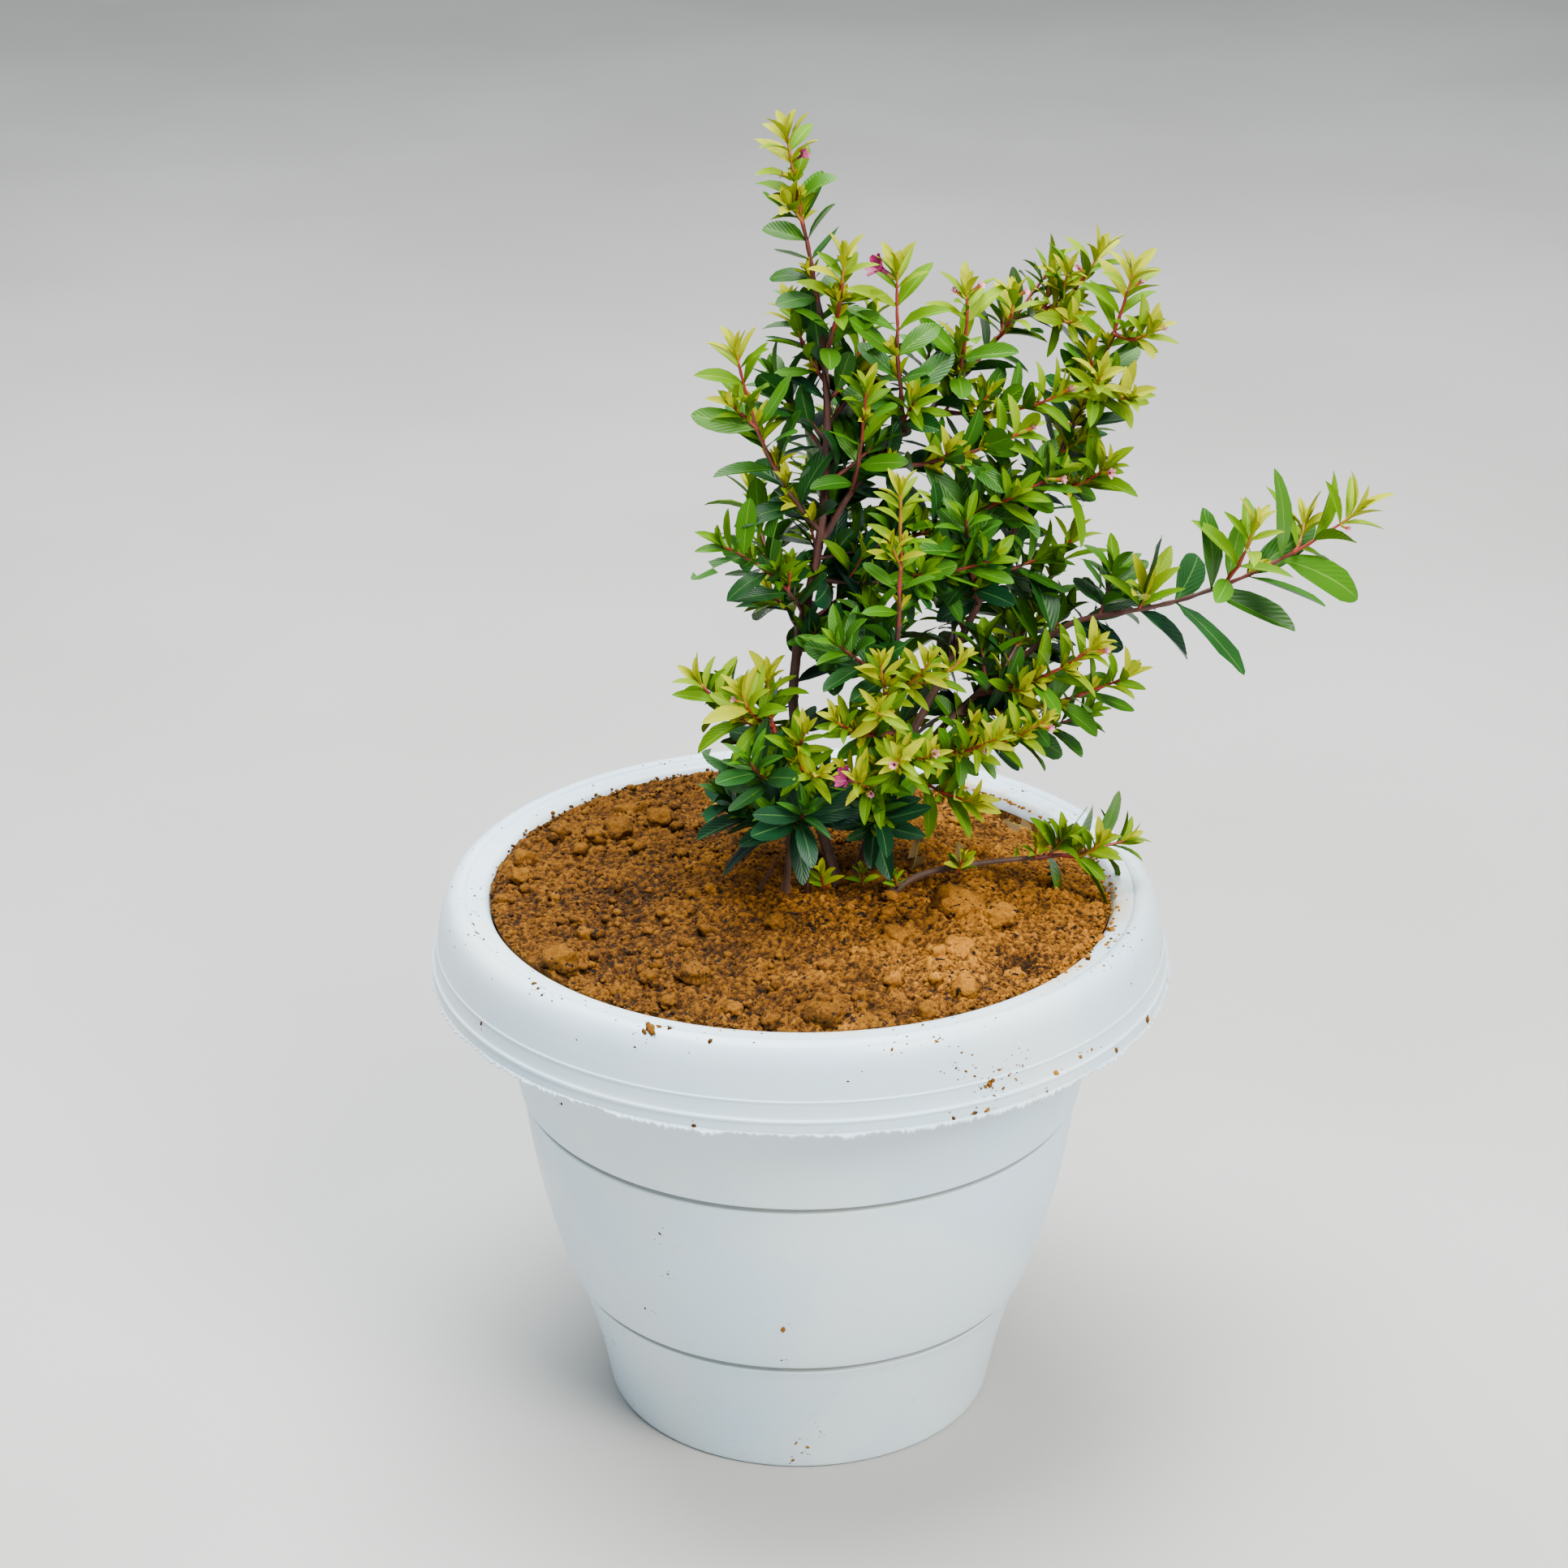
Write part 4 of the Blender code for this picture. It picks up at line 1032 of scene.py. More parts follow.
@dataclass
class Skeleton:
    """The shrub's limbs and shoots, worked out from the tables by the solids' rule."""

    limb_angle: float = radians(42.0)  # the least that a bough leaves its parent at
    shoot_angle: float = radians(38.0)  # the least that a shoot leaves its limb at
    sunk: float = 3.0  # millimetres of a limb inside what it grows from
    step: float = 3.5  # millimetres between a shoot's points
    wander: float = 0.22  # millimetres that a shoot strays from its curve
    tip: float = 0.38  # millimetres, a shoot's radius at its tip
    axes: dict[str, Axis] = field(default_factory=dict)

    def __post_init__(self) -> None:
        """Work out every axis."""
        for limb in LIMBS:
            self.axes[limb.name] = self.limb_axis(limb)
        for shoot in SHOOTS:
            self.axes[shoot.name] = self.shoot_axis(shoot)

    def limb_axis(self, limb: Limb) -> Axis:
        """The centre line and taper of a limb.

        Args:
            limb: The table's row.

        Returns:
            Its axis, sunk a little into the limb or the soil that it grows from.
        """
        way = [Vector(point) * MM for point in limb.way]
        root, tip = limb.root * MM, limb.tip * MM
        if limb.parent:
            point, along, _ = self.axes[limb.parent].at(limb.leaves_at)
            heading = way[0] - point
            heading = along if limb.leaves_at >= 1.0 else turned_off(heading, along, self.limb_angle)
            line = smooth_way([point, point + heading.normalized() * self.sunk * MM, *way], 5)
        else:
            line = smooth_way([way[0] - Vector((0.0, 0.0, self.sunk * MM)), *way], 6)
        radii = [root + (tip - root) * i / (len(line) - 1) for i in range(len(line))]
        return Axis(line, radii)

    def shoot_axis(self, shoot: Shoot) -> Axis:
        """The centre line of a leafy shoot: it leaves its parent outward and turns up.

        Args:
            shoot: The table's row.

        Returns:
            Its axis.
        """
        point, along, _ = self.axes[shoot.parent].at(shoot.leaves_at)
        tip = Vector(shoot.tip) * MM
        chord = tip - point
        level = Vector((chord.x, chord.y, 0.0))
        level = level.normalized() if level.length > 1e-6 else Vector((1.0, 0.0, 0.0))
        climb = chord.z / chord.length
        outward = level * climb - UP * sqrt(max(0.0, 1.0 - climb * climb))
        control = point + chord * 0.45 + outward * shoot.sag * 2.0 * MM
        heading = (control - point).normalized()
        if shoot.leaves_at >= 1.0:
            heading = (heading + along).normalized()
        else:
            heading = turned_off(heading, along, self.shoot_angle)
        control = point + heading * (control - point).length
        count = max(4, round(chord.length / (self.step * MM)))
        luck = Luck(SEED + len(self.axes) * 7)
        line = []
        for index in range(count + 1):
            t = index / count
            stray = Vector((luck.uniform(-1, 1), luck.uniform(-1, 1), luck.uniform(-1, 1)))
            swing = stray * self.wander * MM * sin(pi * t)
            line.append(drawn_curve(point, control, tip, t) + swing)
        thick = 0.62 + 0.16 * min(1.0, chord.length / (60.0 * MM))
        radii = [(thick + (self.tip - thick) * i / count) * MM for i in range(count + 1)]
        return Axis(line, radii)


@dataclass
class Leaf:
    """One leaf: its form and tone, its root and frame, and how its blade is bent."""

    form: Form
    tone: Tone
    root: Vector
    across: Vector
    grows: Vector
    face: Vector
    length: float
    width: float
    fold: float
    curl: float
    twist: float


@dataclass(frozen=True)
class Habit:
    """What sets one shoot's growth apart from the rest."""

    slim: float = 1.0  # its leaves' width
    bitten: float = 0.05  # share of its leaves that insects have eaten
    close: float = 1.0  # its leaf pairs' distance
    lively: float = 1.0  # its side growth
    droop: float = -1.0  # how far down its leaves may point
    grown: float = 1.0  # its leaves' length


PLAIN = Habit()
FRONT = Habit(0.88, 0.0, 0.84, 1.15, -0.5, 0.80)
HABITS = {
    "skirt_left": Habit(0.74, 0.02, 0.56, 1.5, -0.25),
    "skirt_front": Habit(0.74, 0.02, 0.56, 1.5, -0.25),
    "skirt_mid": Habit(0.76, 0.02, 0.60, 1.5, -0.25),
    "skirt_back": Habit(0.78, 0.02, 0.60, 1.5, -0.25),
    "left_front": Habit(0.84, 0.08, 0.72, 1.2, -0.4),
    "front_low": Habit(0.90, 0.05, 0.75, 1.2, -0.4),
    "left_mid": Habit(1.05, 0.34, 0.85, 0.6),
    "left_high": Habit(1.0, 0.05, 1.15, 0.9),
    "leader": Habit(1.25, 0.0, 1.05, 0.9),
    "crown_upper": Habit(1.05, 0.05, 1.35, 0.4),
    "crest": Habit(1.0, 0.05, 1.15, 0.6),
    "crest_left": Habit(1.0, 0.05, 1.0, 0.5),
    "collar_left": Habit(1.1, 0.05, 1.0, 0.3),
    "mid_up": Habit(0.95, 0.05, 1.3, 0.6),
    "upper_a": Habit(1.0, 0.05, 1.3, 0.4),
    "upper_b": Habit(1.0, 0.05, 1.2, 0.7),
    "upper_c": Habit(1.0, 0.05, 1.15, 0.8),
    "upper_e": Habit(1.0, 0.05, 0.9, 1.3),
    "crown_right": Habit(1.0, 0.05, 0.95, 1.2),
    "right_e": Habit(1.0, 0.05, 0.9, 1.3),
    "front_star": Habit(0.86, 0.0, 1.55, 0.35, -1.0, 0.90),
    "far": Habit(0.80, 0.03, 1.15, 0.45, -1.0, 1.14),
    "far_b": Habit(0.80, 0.0, 1.1, 0.2, -1.0, 0.9),
    "far_c": Habit(0.86, 0.0, 1.2, 0.2),
    "low_tip": Habit(1.15, 0.25, 1.30, 0.3, -1.0, 1.22),
    "low_tip2": Habit(1.2, 0.2, 1.0, 0.2),
}


class Rank(Enum):
    """What a leafy length of twig is."""

    SHOOT = 0
    SIDE = 1
    ROSETTE = 2


@dataclass
class Sprig:
    """A leafy length of twig that is to be grown."""

    axis: Axis
    leaf: float  # millimetres, its full-grown leaves
    youth: float
    pitch: float  # millimetres between its leaf pairs
    luck: Luck
    phase: float
    first: float = 4.0  # millimetres below its first pair
    rank: Rank = Rank.SHOOT
    habit: Habit = PLAIN


class StarRow(NamedTuple):
    """One pair of a star: how far it stands from the tip, its angle, its size and its age."""

    back: float
    degrees: float
    size: float
    age: float


STAR = (StarRow(4.6, 49.0, 0.92, 10.0), StarRow(2.6, 34.0, 0.92, 5.0), StarRow(1.2, 19.0, 0.86, 1.5),
        StarRow(0.3, 8.0, 0.60, 0.0))
AGES = (
    (3.4, Tone.YELLOW), (8.5, Tone.GOLD), (17.0, Tone.LIME), (28.0, Tone.FRESH), (40.0, Tone.MID),
    (56.0, Tone.LEAF), (74.0, Tone.DARK),
)
GROWN = 1.14  # full-grown leaves, against the table's length
YOUTH_SHARE = 0.28  # of a shoot's youth that its older leaves feel
UPRIGHT = 0.55  # how far young leaves turn to the light
FLATTEN = 0.62  # how far the pairs spread in depth, against to the sides
CROWN_MIDDLE = (15.0, 12.0)  # millimetres, where leaves face neither left nor right, front nor back
CROWN_REACH = (60.0, 20.0)  # millimetres from there to where they face outward most
BUD_LENGTH = 6.5  # millimetres, below which a leaf has a bud's form
BARE_FOOT = 205.0  # millimetres, the height below which the limbs carry no leaves
DENSE_CROWN = (228.0, 268.0)  # millimetres, the heights between which their growth is dense


def tone_of(age: float) -> Tone:
    """The colour of a leaf by its age, counted in millimetres of twig beyond it."""
    return next((tone for limit, tone in AGES if age < limit), Tone.DEEP)


def light_on(point: Vector) -> Vector:
    """The way that the leaves at a place turn: up, and outward from the crown's middle."""
    aside, depth = (clip((point[i] / MM - CROWN_MIDDLE[i]) / CROWN_REACH[i], -1.0, 1.0) for i in (0, 1))
    return Vector((0.30 * aside, 0.5 * depth - 0.25, 0.65))


@dataclass
class Growth:
    """Grows leaves, side twigs and rosettes on the skeleton, by one seeded rule."""

    bones: Skeleton
    leaves: list[Leaf] = field(default_factory=list)
    twigs: list[tuple[Axis, float]] = field(default_factory=list)  # each with its youth

    def grow_all(self) -> None:
        """Grow every shoot, then the leaves and spurs on the limbs."""
        for index, shoot in enumerate(SHOOTS):
            luck = Luck(SEED + index)
            axis = self.bones.axes[shoot.name]
            phase = luck.uniform(0.0, pi)
            habit = HABITS.get(shoot.name, FRONT if shoot.name.startswith("front_") else PLAIN)
            pitch = (1.7 + 0.26 * shoot.leaf + 0.4 * max(0.0, shoot.leaf - 17.0)) * habit.close
            self.grow(Sprig(axis, shoot.leaf, shoot.youth, pitch, luck, phase, habit=habit))
        for index, limb in enumerate(LIMBS):
            self.dress_limb(limb, Luck(SEED + 500 + index))
        self.litter(Luck(SEED + 600))

    def grow(self, sprig: Sprig) -> None:
        """Grow a sprig: its twig and its leaves."""
        self.twigs.append((sprig.axis, sprig.youth))
        self.leaf_out(sprig)

    def litter(self, luck: Luck) -> None:
        """The small sprouts at the stems' feet, the dry twigs there and the dead leaves.

        Args:
            luck: The run of chance.
        """
        for x, y, z, leaf in SPROUTS:
            point = Vector((x, y, z)) * MM
            reach = (luck.uniform(-1.5, 1.5), luck.uniform(-1.5, 0.0), luck.uniform(3.5, 5.5))
            tip = point + Vector(reach) * MM
            axis = Axis([point, tip], [0.4 * MM, 0.3 * MM])
            self.twigs.append((axis, -10.0))
            youth, phase = luck.uniform(-6.0, 2.0), luck.uniform(0.0, pi)
            self.leaf_out(Sprig(axis, leaf, youth, 3.2, luck, phase, 1.0, Rank.SIDE))
        for foot, top in DRY_TWIGS:
            start, end = Vector(foot) * MM, Vector(top) * MM
            bend = start.lerp(end, 0.55) + Vector((0.5, 0.3, 0.0)) * MM
            self.twigs.append((Axis([start, bend, end], [0.55 * MM, 0.45 * MM, 0.3 * MM]), -80.0))
        for place, heading, length in DEAD_LEAVES:
            grows = Vector(heading).normalized()
            face = squared(Vector((0.2, -1.0, 0.3)), grows)
            self.leaves.append(Leaf(Form.BITTEN, Tone.DRY, Vector(place) * MM, grows.cross(face), grows, face,
                                    length * MM, 1.0, 1.2, 0.9, 0.5))

    def dress_limb(self, limb: Limb, luck: Luck) -> None:
        """Leaf pairs and short leafy spurs on a limb, above its bare foot.

        Args:
            limb: The limb.
            luck: Its own run of chance.
        """
        axis = self.bones.axes[limb.name]
        total = axis.length() / MM
        turn = luck.uniform(0.0, pi)
        at = 6.0
        while at < total - 3.0:
            seat = axis.at(at / total)
            for side in (turn, turn + pi):
                if limb.name == "stem_low":
                    if luck.random() < 0.4:
                        length, age = luck.uniform(4.5, 7.0), luck.uniform(6.0, 20.0)
                        self.add_leaf(seat, side, 58.0, length, age, luck)
                elif seat.point.z / MM > BARE_FOOT:
                    self.dress_side(seat, side, limb.name == "stem_main", luck)
            at += luck.uniform(7.0, 9.5)
            turn += pi / 2.0 + luck.uniform(-0.3, 0.3)

    def dress_side(self, seat: Seat, turn: float, is_main: bool, luck: Luck) -> None:
        """Chance of an old leaf and of a spur on one side of a limb, but not where the limb shows.

        Args:
            seat: The place on the limb.
            turn: The side's turn about it.
            is_main: Whether the limb is the main stem, whose lower left is bare.
            luck: The run of chance.
        """
        height = seat.point.z / MM
        way = around(seat.along, turn)
        if way.y < -0.3 or (is_main and height < DENSE_CROWN[1] and way.x < 0.2):
            return
        dense = 1.0 if DENSE_CROWN[0] < height < DENSE_CROWN[1] else 0.55
        if luck.random() < dense * 0.8:
            # old leaves in dark tones, partly painted shade inside the crown
            degrees = luck.uniform(50.0, 72.0)
            length, age = luck.uniform(14.0, 19.0), luck.uniform(44.0, 84.0)
            self.add_leaf(seat, turn, degrees, length, age, luck)
        if luck.random() < dense * 0.66:
            self.spur(seat, turn + 0.3, luck)

    def spur(self, seat: Seat, turn: float, luck: Luck) -> None:
        """A short leafy twig from a limb, with dark leaves that carry painted shade.

        Args:
            seat: The place on the limb.
            turn: The bearing about it.
            luck: The run of chance.
        """
        heading = (around(seat.along, turn) + seat.along * 0.55).normalized()
        reach = luck.uniform(8.0, 19.0) * MM
        tip = seat.point + heading * reach + Vector((0.0, 0.0, reach * 0.25))
        middle = seat.point.lerp(tip, 0.5) + Vector((0, 0, -0.6 * MM))
        axis = Axis([seat.point, middle, tip], [0.62 * MM, 0.52 * MM, 0.4 * MM])
        youth, leaf, phase = luck.uniform(-44.0, -18.0), luck.uniform(12.0, 15.5), luck.uniform(0.0, pi)
        self.grow(Sprig(axis, leaf, youth, 5.0, luck, phase, 3.0, Rank.SIDE))

    def rosette(self, seat: Seat, turn: float, leaf: float, youth: float, luck: Luck) -> None:
        """A tuft of small young leaves in a leaf's axil.

        Args:
            seat: The place on the twig.
            turn: The bearing about it.
            leaf: The length of its leaves, in millimetres.
            youth: How young it looks.
            luck: The run of chance.
        """
        heading = (around(seat.along, turn) * 0.75 + seat.along).normalized()
        axis = Axis([seat.point, seat.point + heading * 1.9 * MM], [0.42 * MM, 0.30 * MM])
        self.grow(Sprig(axis, leaf, youth, 9.0, luck, luck.uniform(0.0, pi), 9.0, Rank.ROSETTE))

    def side_twig(self, seat: Seat, turn: float, sprig: Sprig, age: float) -> None:
        """A short side twig from a shoot, with a star of young leaves at its end.

        Args:
            seat: The place on the twig.
            turn: The bearing about it.
            sprig: What it grows from.
            age: How much of that lies beyond it.
        """
        luck = sprig.luck
        heading = (around(seat.along, turn) + seat.along * 0.9 + Vector((0.0, 0.0, 0.7))).normalized()
        tip = seat.point + heading * (luck.uniform(5.0, 11.0) * MM)
        axis = Axis([seat.point, seat.point.lerp(tip, 0.5), tip], [0.50 * MM, 0.44 * MM, 0.34 * MM])
        youth = sprig.youth * 0.8 + luck.uniform(-6.0, 6.0) - max(0.0, age - 40.0) * 0.3
        leaf, phase = sprig.leaf * luck.uniform(0.60, 0.75), luck.uniform(0.0, pi)
        self.grow(Sprig(axis, leaf, youth, 4.6, luck, phase, 3.0, Rank.SIDE, sprig.habit))

    def leaf_out(self, sprig: Sprig) -> None:
        """Grow a sprig's leaf pairs, its end star, and what stands in its axils.

        Args:
            sprig: The sprig.
        """
        luck = sprig.luck
        total = sprig.axis.length() / MM
        count = max(0, round((total - sprig.first) / sprig.pitch))
        felt = sprig.youth * (YOUTH_SHARE if sprig.youth > 0.0 else 1.0)
        for node in range(count):
            share = (sprig.first + (total - sprig.first - 2.4) * node / max(1, count)) / total
            left = total * (1.0 - share)
            size = 0.90 + 0.28 * share - 0.44 * share * share
            seat = sprig.axis.at(share).lifted(UPRIGHT * max(0.0, 1.0 - left / 14.0))
            for half in (0, 1):
                turn = sprig.phase + node * pi / 2.0 + half * pi + luck.uniform(-0.3, 0.3)
                age = left - felt + luck.uniform(-5.0, 5.0)
                degrees = 64.0 - 24.0 * share + luck.uniform(-10.0, 10.0)
                length = sprig.leaf * GROWN * size * sprig.habit.grown * luck.uniform(0.84, 1.10)
                self.add_leaf(seat, turn, degrees, length, age, luck, False, sprig.habit)
                if sprig.rank is Rank.SHOOT and left > 9.0:
                    self.side_growth(sprig, seat, turn, left)
        self.star(sprig, total, count)

    def side_growth(self, sprig: Sprig, seat: Seat, turn: float, left: float) -> None:
        """Chance of a rosette or a side twig in one axil.

        Args:
            sprig: The sprig.
            seat: The place on the twig.
            turn: The bearing about it.
            left: Millimetres of the sprig beyond it.
        """
        luck = sprig.luck
        fate = luck.random() / sprig.habit.lively
        bright = sprig.youth > -12.0
        if left > 16.0 and fate < (0.20 if bright else 0.34):
            self.side_twig(seat, turn, sprig, left)
        elif fate < (0.50 if bright else 0.44):
            youth = (4.0 if bright else -10.0) + luck.uniform(-4.0, 4.0)
            self.rosette(seat, turn, sprig.leaf * luck.uniform(0.32, 0.50), youth, luck)

    def star(self, sprig: Sprig, total: float, count: int) -> None:
        """The upright pairs of young leaves at a sprig's end.

        Args:
            sprig: The sprig.
            total: Its length in millimetres.
            count: The pairs below.
        """
        luck, tuft = sprig.luck, sprig.rank is Rank.ROSETTE
        young = sprig.leaf if sprig.rank is not Rank.SHOOT else 5.6 + 0.38 * sprig.leaf
        young *= min(1.0, sprig.habit.grown)
        for pair, row in enumerate(STAR):
            if tuft and pair == 0:
                continue
            seat = sprig.axis.at(max(0.0, 1.0 - row.back / total)).lifted(UPRIGHT)
            for half in (0, 1):
                turn = sprig.phase + (count + pair) * pi / 2.0 + half * pi + luck.uniform(-0.2, 0.2)
                degrees = row.degrees + luck.uniform(-7.0, 7.0)
                length = young * row.size * luck.uniform(0.85, 1.12)
                age = row.age - min(sprig.youth, 4.0) * 0.6 + luck.uniform(-2.0, 2.0)
                self.add_leaf(seat, turn, degrees, length, age, luck, not tuft, sprig.habit)

    def add_leaf(self, seat: Seat, turn: float, degrees: float, length: float, age: float,
                 luck: Luck, starry: bool = False, habit: Habit = PLAIN) -> None:
        """Set one leaf.

        Args:
            seat: Where on the stem's axis it stands.
            turn: The leaf's turn about the stem.
            degrees: How far it stands off the stem.
            length: Its length in millimetres.
            age: Its age, which sets its tone and form.
            luck: The run of chance.
            starry: Whether it belongs to a star of young leaves.
            habit: What sets its shoot apart.
        """
        angle = radians(degrees)
        side = around(seat.along, turn)
        side = squared(Vector((side.x, side.y * FLATTEN, side.z)), seat.along)
        grows = seat.along * cos(angle) + side * sin(angle)
        if grows.z < habit.droop:
            grows.z = habit.droop + (grows.z - habit.droop) * 0.35
            grows.normalize()
        face = seat.along * sin(angle) - side * cos(angle)
        light = light_on(seat.point)
        face = (face + (light - grows * light.dot(grows)) * (0.8 if starry else 1.1)).normalized()
        face = Quaternion(grows, luck.uniform(-0.32, 0.32)) @ squared(face, grows)
        tone = tone_of(age)
        if length < BUD_LENGTH:
            form, width, fold, curl = Form.BUD, luck.uniform(0.90, 1.15), 1.0, luck.uniform(0.1, 0.6)
        elif starry or tone.value >= Tone.LIME.value:
            form, width = Form.YOUNG, luck.uniform(0.86, 1.12)
            fold, curl = luck.uniform(0.7, 1.2), luck.uniform(0.2, 0.8)
        else:
            draw = luck.random()
            form = Form.BITTEN if draw < habit.bitten else (Form.CUPPED if draw < 0.5 else Form.BROAD)
            width, fold, curl = luck.uniform(0.88, 1.12), luck.uniform(0.5, 1.3), luck.uniform(-0.15, 0.75)
        root, across = seat.point + side * seat.thick * 0.6, grows.cross(face)
        blade = (length * MM, width * habit.slim, fold, curl, luck.uniform(-0.35, 0.35))
        self.leaves.append(Leaf(form, tone, root, across, grows, face, *blade))


@dataclass(frozen=True)
class LeafForm:
    """How one form of leaf is modelled: its outline, its columns, its fold and its bites."""

    width: float  # of its length
    outline: tuple[Span, ...]  # share of the length, share of the half width
    columns: tuple[float, ...]  # shares of the half width
    fold: float  # rise of its margins, of the half width
    roll: float = 0.0  # how far the margins turn down again
    wave: float = 0.0  # how far the margins rise and fall along it
    bites: tuple[Span, ...] = ()  # share of the length, and the side
    aside: float = 10.0  # keeps moved rows clear of those still to be moved

    def model(self) -> Shape:
        """Model the leaf on the bench, along +Y, from a grid.

        Returns:
            The finished shape, one unit long.
        """
        wide, tall = len(self.columns) - 1, len(self.outline) - 1
        Bench.clear()
        bpy.ops.mesh.primitive_grid_add(x_subdivisions=wide, y_subdivisions=tall, size=2.0)
        bench = Bench(bpy.context.object)
        for index, (share, _) in enumerate(self.outline):
            old = -1.0 + 2.0 * index / tall
            bench.pick_row(1, old)
            bench.shift(0.0, self.aside + share - old, 0.0)
        for index, share in enumerate(self.columns):
            old = -1.0 + 2.0 * index / wide
            rise = self.fold * abs(share) - self.roll * max(0.0, abs(share) - 0.4) ** 2
            bench.pick_row(0, old)
            bench.shift(self.aside + share - old, 0.0, rise)
        bench.pick_all()
        bench.shift(-self.aside, -self.aside, 0.0)
        for index, (share, half) in enumerate(self.outline):
            swing = self.wave * sin(index * 2.3)
            for side in (-1.0, 1.0):
                bench.pick(lambda place: abs(place.y - share) < SAME_ROW and place.x * side > 0.9)
                bench.shift(0.0, 0.0, swing * side)
            reach = half * self.width * 0.5
            bench.pick_row(1, share)
            bench.stretch(reach, 1.0, reach, (0.0, share, 0.0))
        for along, side in self.bites:
            bench.pick(lambda place: abs(place.y - along) < 0.07 and place.x * side > self.width * 0.2)
            bpy.ops.mesh.delete(type="VERT")
        piece = bench.close()
        for face in piece.data.polygons:
            middle = sum(piece.data.vertices[corner].co.x for corner in face.vertices)
            face.material_index = int(abs(middle) < 1e-4)
        return Shape.taken_from(piece)


RIBBED = (-1.0, -0.55, -0.055, 0.055, 0.55, 1.0)
ELLIPTIC = ((0.0, 0.10), (0.07, 0.24), (0.20, 0.64), (0.37, 0.92), (0.56, 1.0), (0.74, 0.91), (0.88, 0.64),
            (0.965, 0.31), (1.0, 0.05))
LANCE = ((0.0, 0.17), (0.13, 0.54), (0.32, 0.92), (0.52, 1.0), (0.73, 0.80), (0.90, 0.42), (1.0, 0.05))
SCALE = ((0.0, 0.24), (0.24, 0.8), (0.56, 1.0), (0.84, 0.70), (1.0, 0.08))
LEAF_FORMS = {
    Form.BROAD: LeafForm(0.43, ELLIPTIC, RIBBED, 0.20, 0.34, 0.05),
    Form.CUPPED: LeafForm(0.41, ELLIPTIC, RIBBED, 0.48, 0.10, 0.03),
    Form.BITTEN: LeafForm(0.44, ELLIPTIC, RIBBED, 0.18, 0.2, 0.06, ((0.73, 1.0), (0.38, -1.0))),
    Form.YOUNG: LeafForm(0.32, LANCE, (-1.0, -0.07, 0.07, 1.0), 0.50, 0.0, 0.04),
    Form.BUD: LeafForm(0.37, SCALE, (-1.0, -0.1, 0.1, 1.0), 0.60),
}


@dataclass
class Foliage:
    """All leaves, joined into one piece for each tone."""

    growth: Growth
    nodes: Sequence[str]  # the masses that the leaves stand for
    straight: float = 0.02  # the least curl, so that no blade is quite flat

    def copies(self, shape: Shape, leaves: Sequence[Leaf]) -> np.ndarray:
        """Bend, turn and place copies of a leaf shape.

        Args:
            shape: The modelled leaf.
            leaves: The leaves to make of it.

        Returns:
            The copies' points.
        """
        def column(name: str) -> np.ndarray:
            """One number of every leaf."""
            return np.array([getattr(leaf, name) for leaf in leaves], float)[:, None]

        x, y, z = (shape.points[:, i][None] for i in range(3))
        length, twist, curl = column("length"), column("twist") * y, column("curl")
        curl[np.abs(curl) <= self.straight] = self.straight
        x, z = x * column("width") * length, z * column("fold") * length
        x, z = x * np.cos(twist) - z * np.sin(twist), x * np.sin(twist) + z * np.cos(twist)
        bend = curl * y
        reach = np.sin(bend) / curl * length + z * np.sin(bend)
        lift = -(1.0 - np.cos(bend)) / curl * length + z * np.cos(bend)
        root, across, grows, face = (np.array([getattr(leaf, name)[:] for leaf in leaves])[:, None]
                                     for name in ("root", "across", "grows", "face"))
        return root + across * x[..., None] + grows * reach[..., None] + face * lift[..., None]

    def build(self) -> None:
        """Model the leaf forms, then make and dress one piece of leaves for each tone."""
        shapes = {form: LEAF_FORMS[form].model() for form in Form}
        for tone in Tone:
            heap = Heap()
            for form, shape in shapes.items():
                leaves = [leaf for leaf in self.growth.leaves if leaf.tone is tone and leaf.form is form]
                if leaves:
                    heap.add(shape, self.copies(shape, leaves))
            piece = heap.join(f"leaves_{tone.name.lower()}", LeafSkin(tone).materials())
            settle(piece, self.nodes)


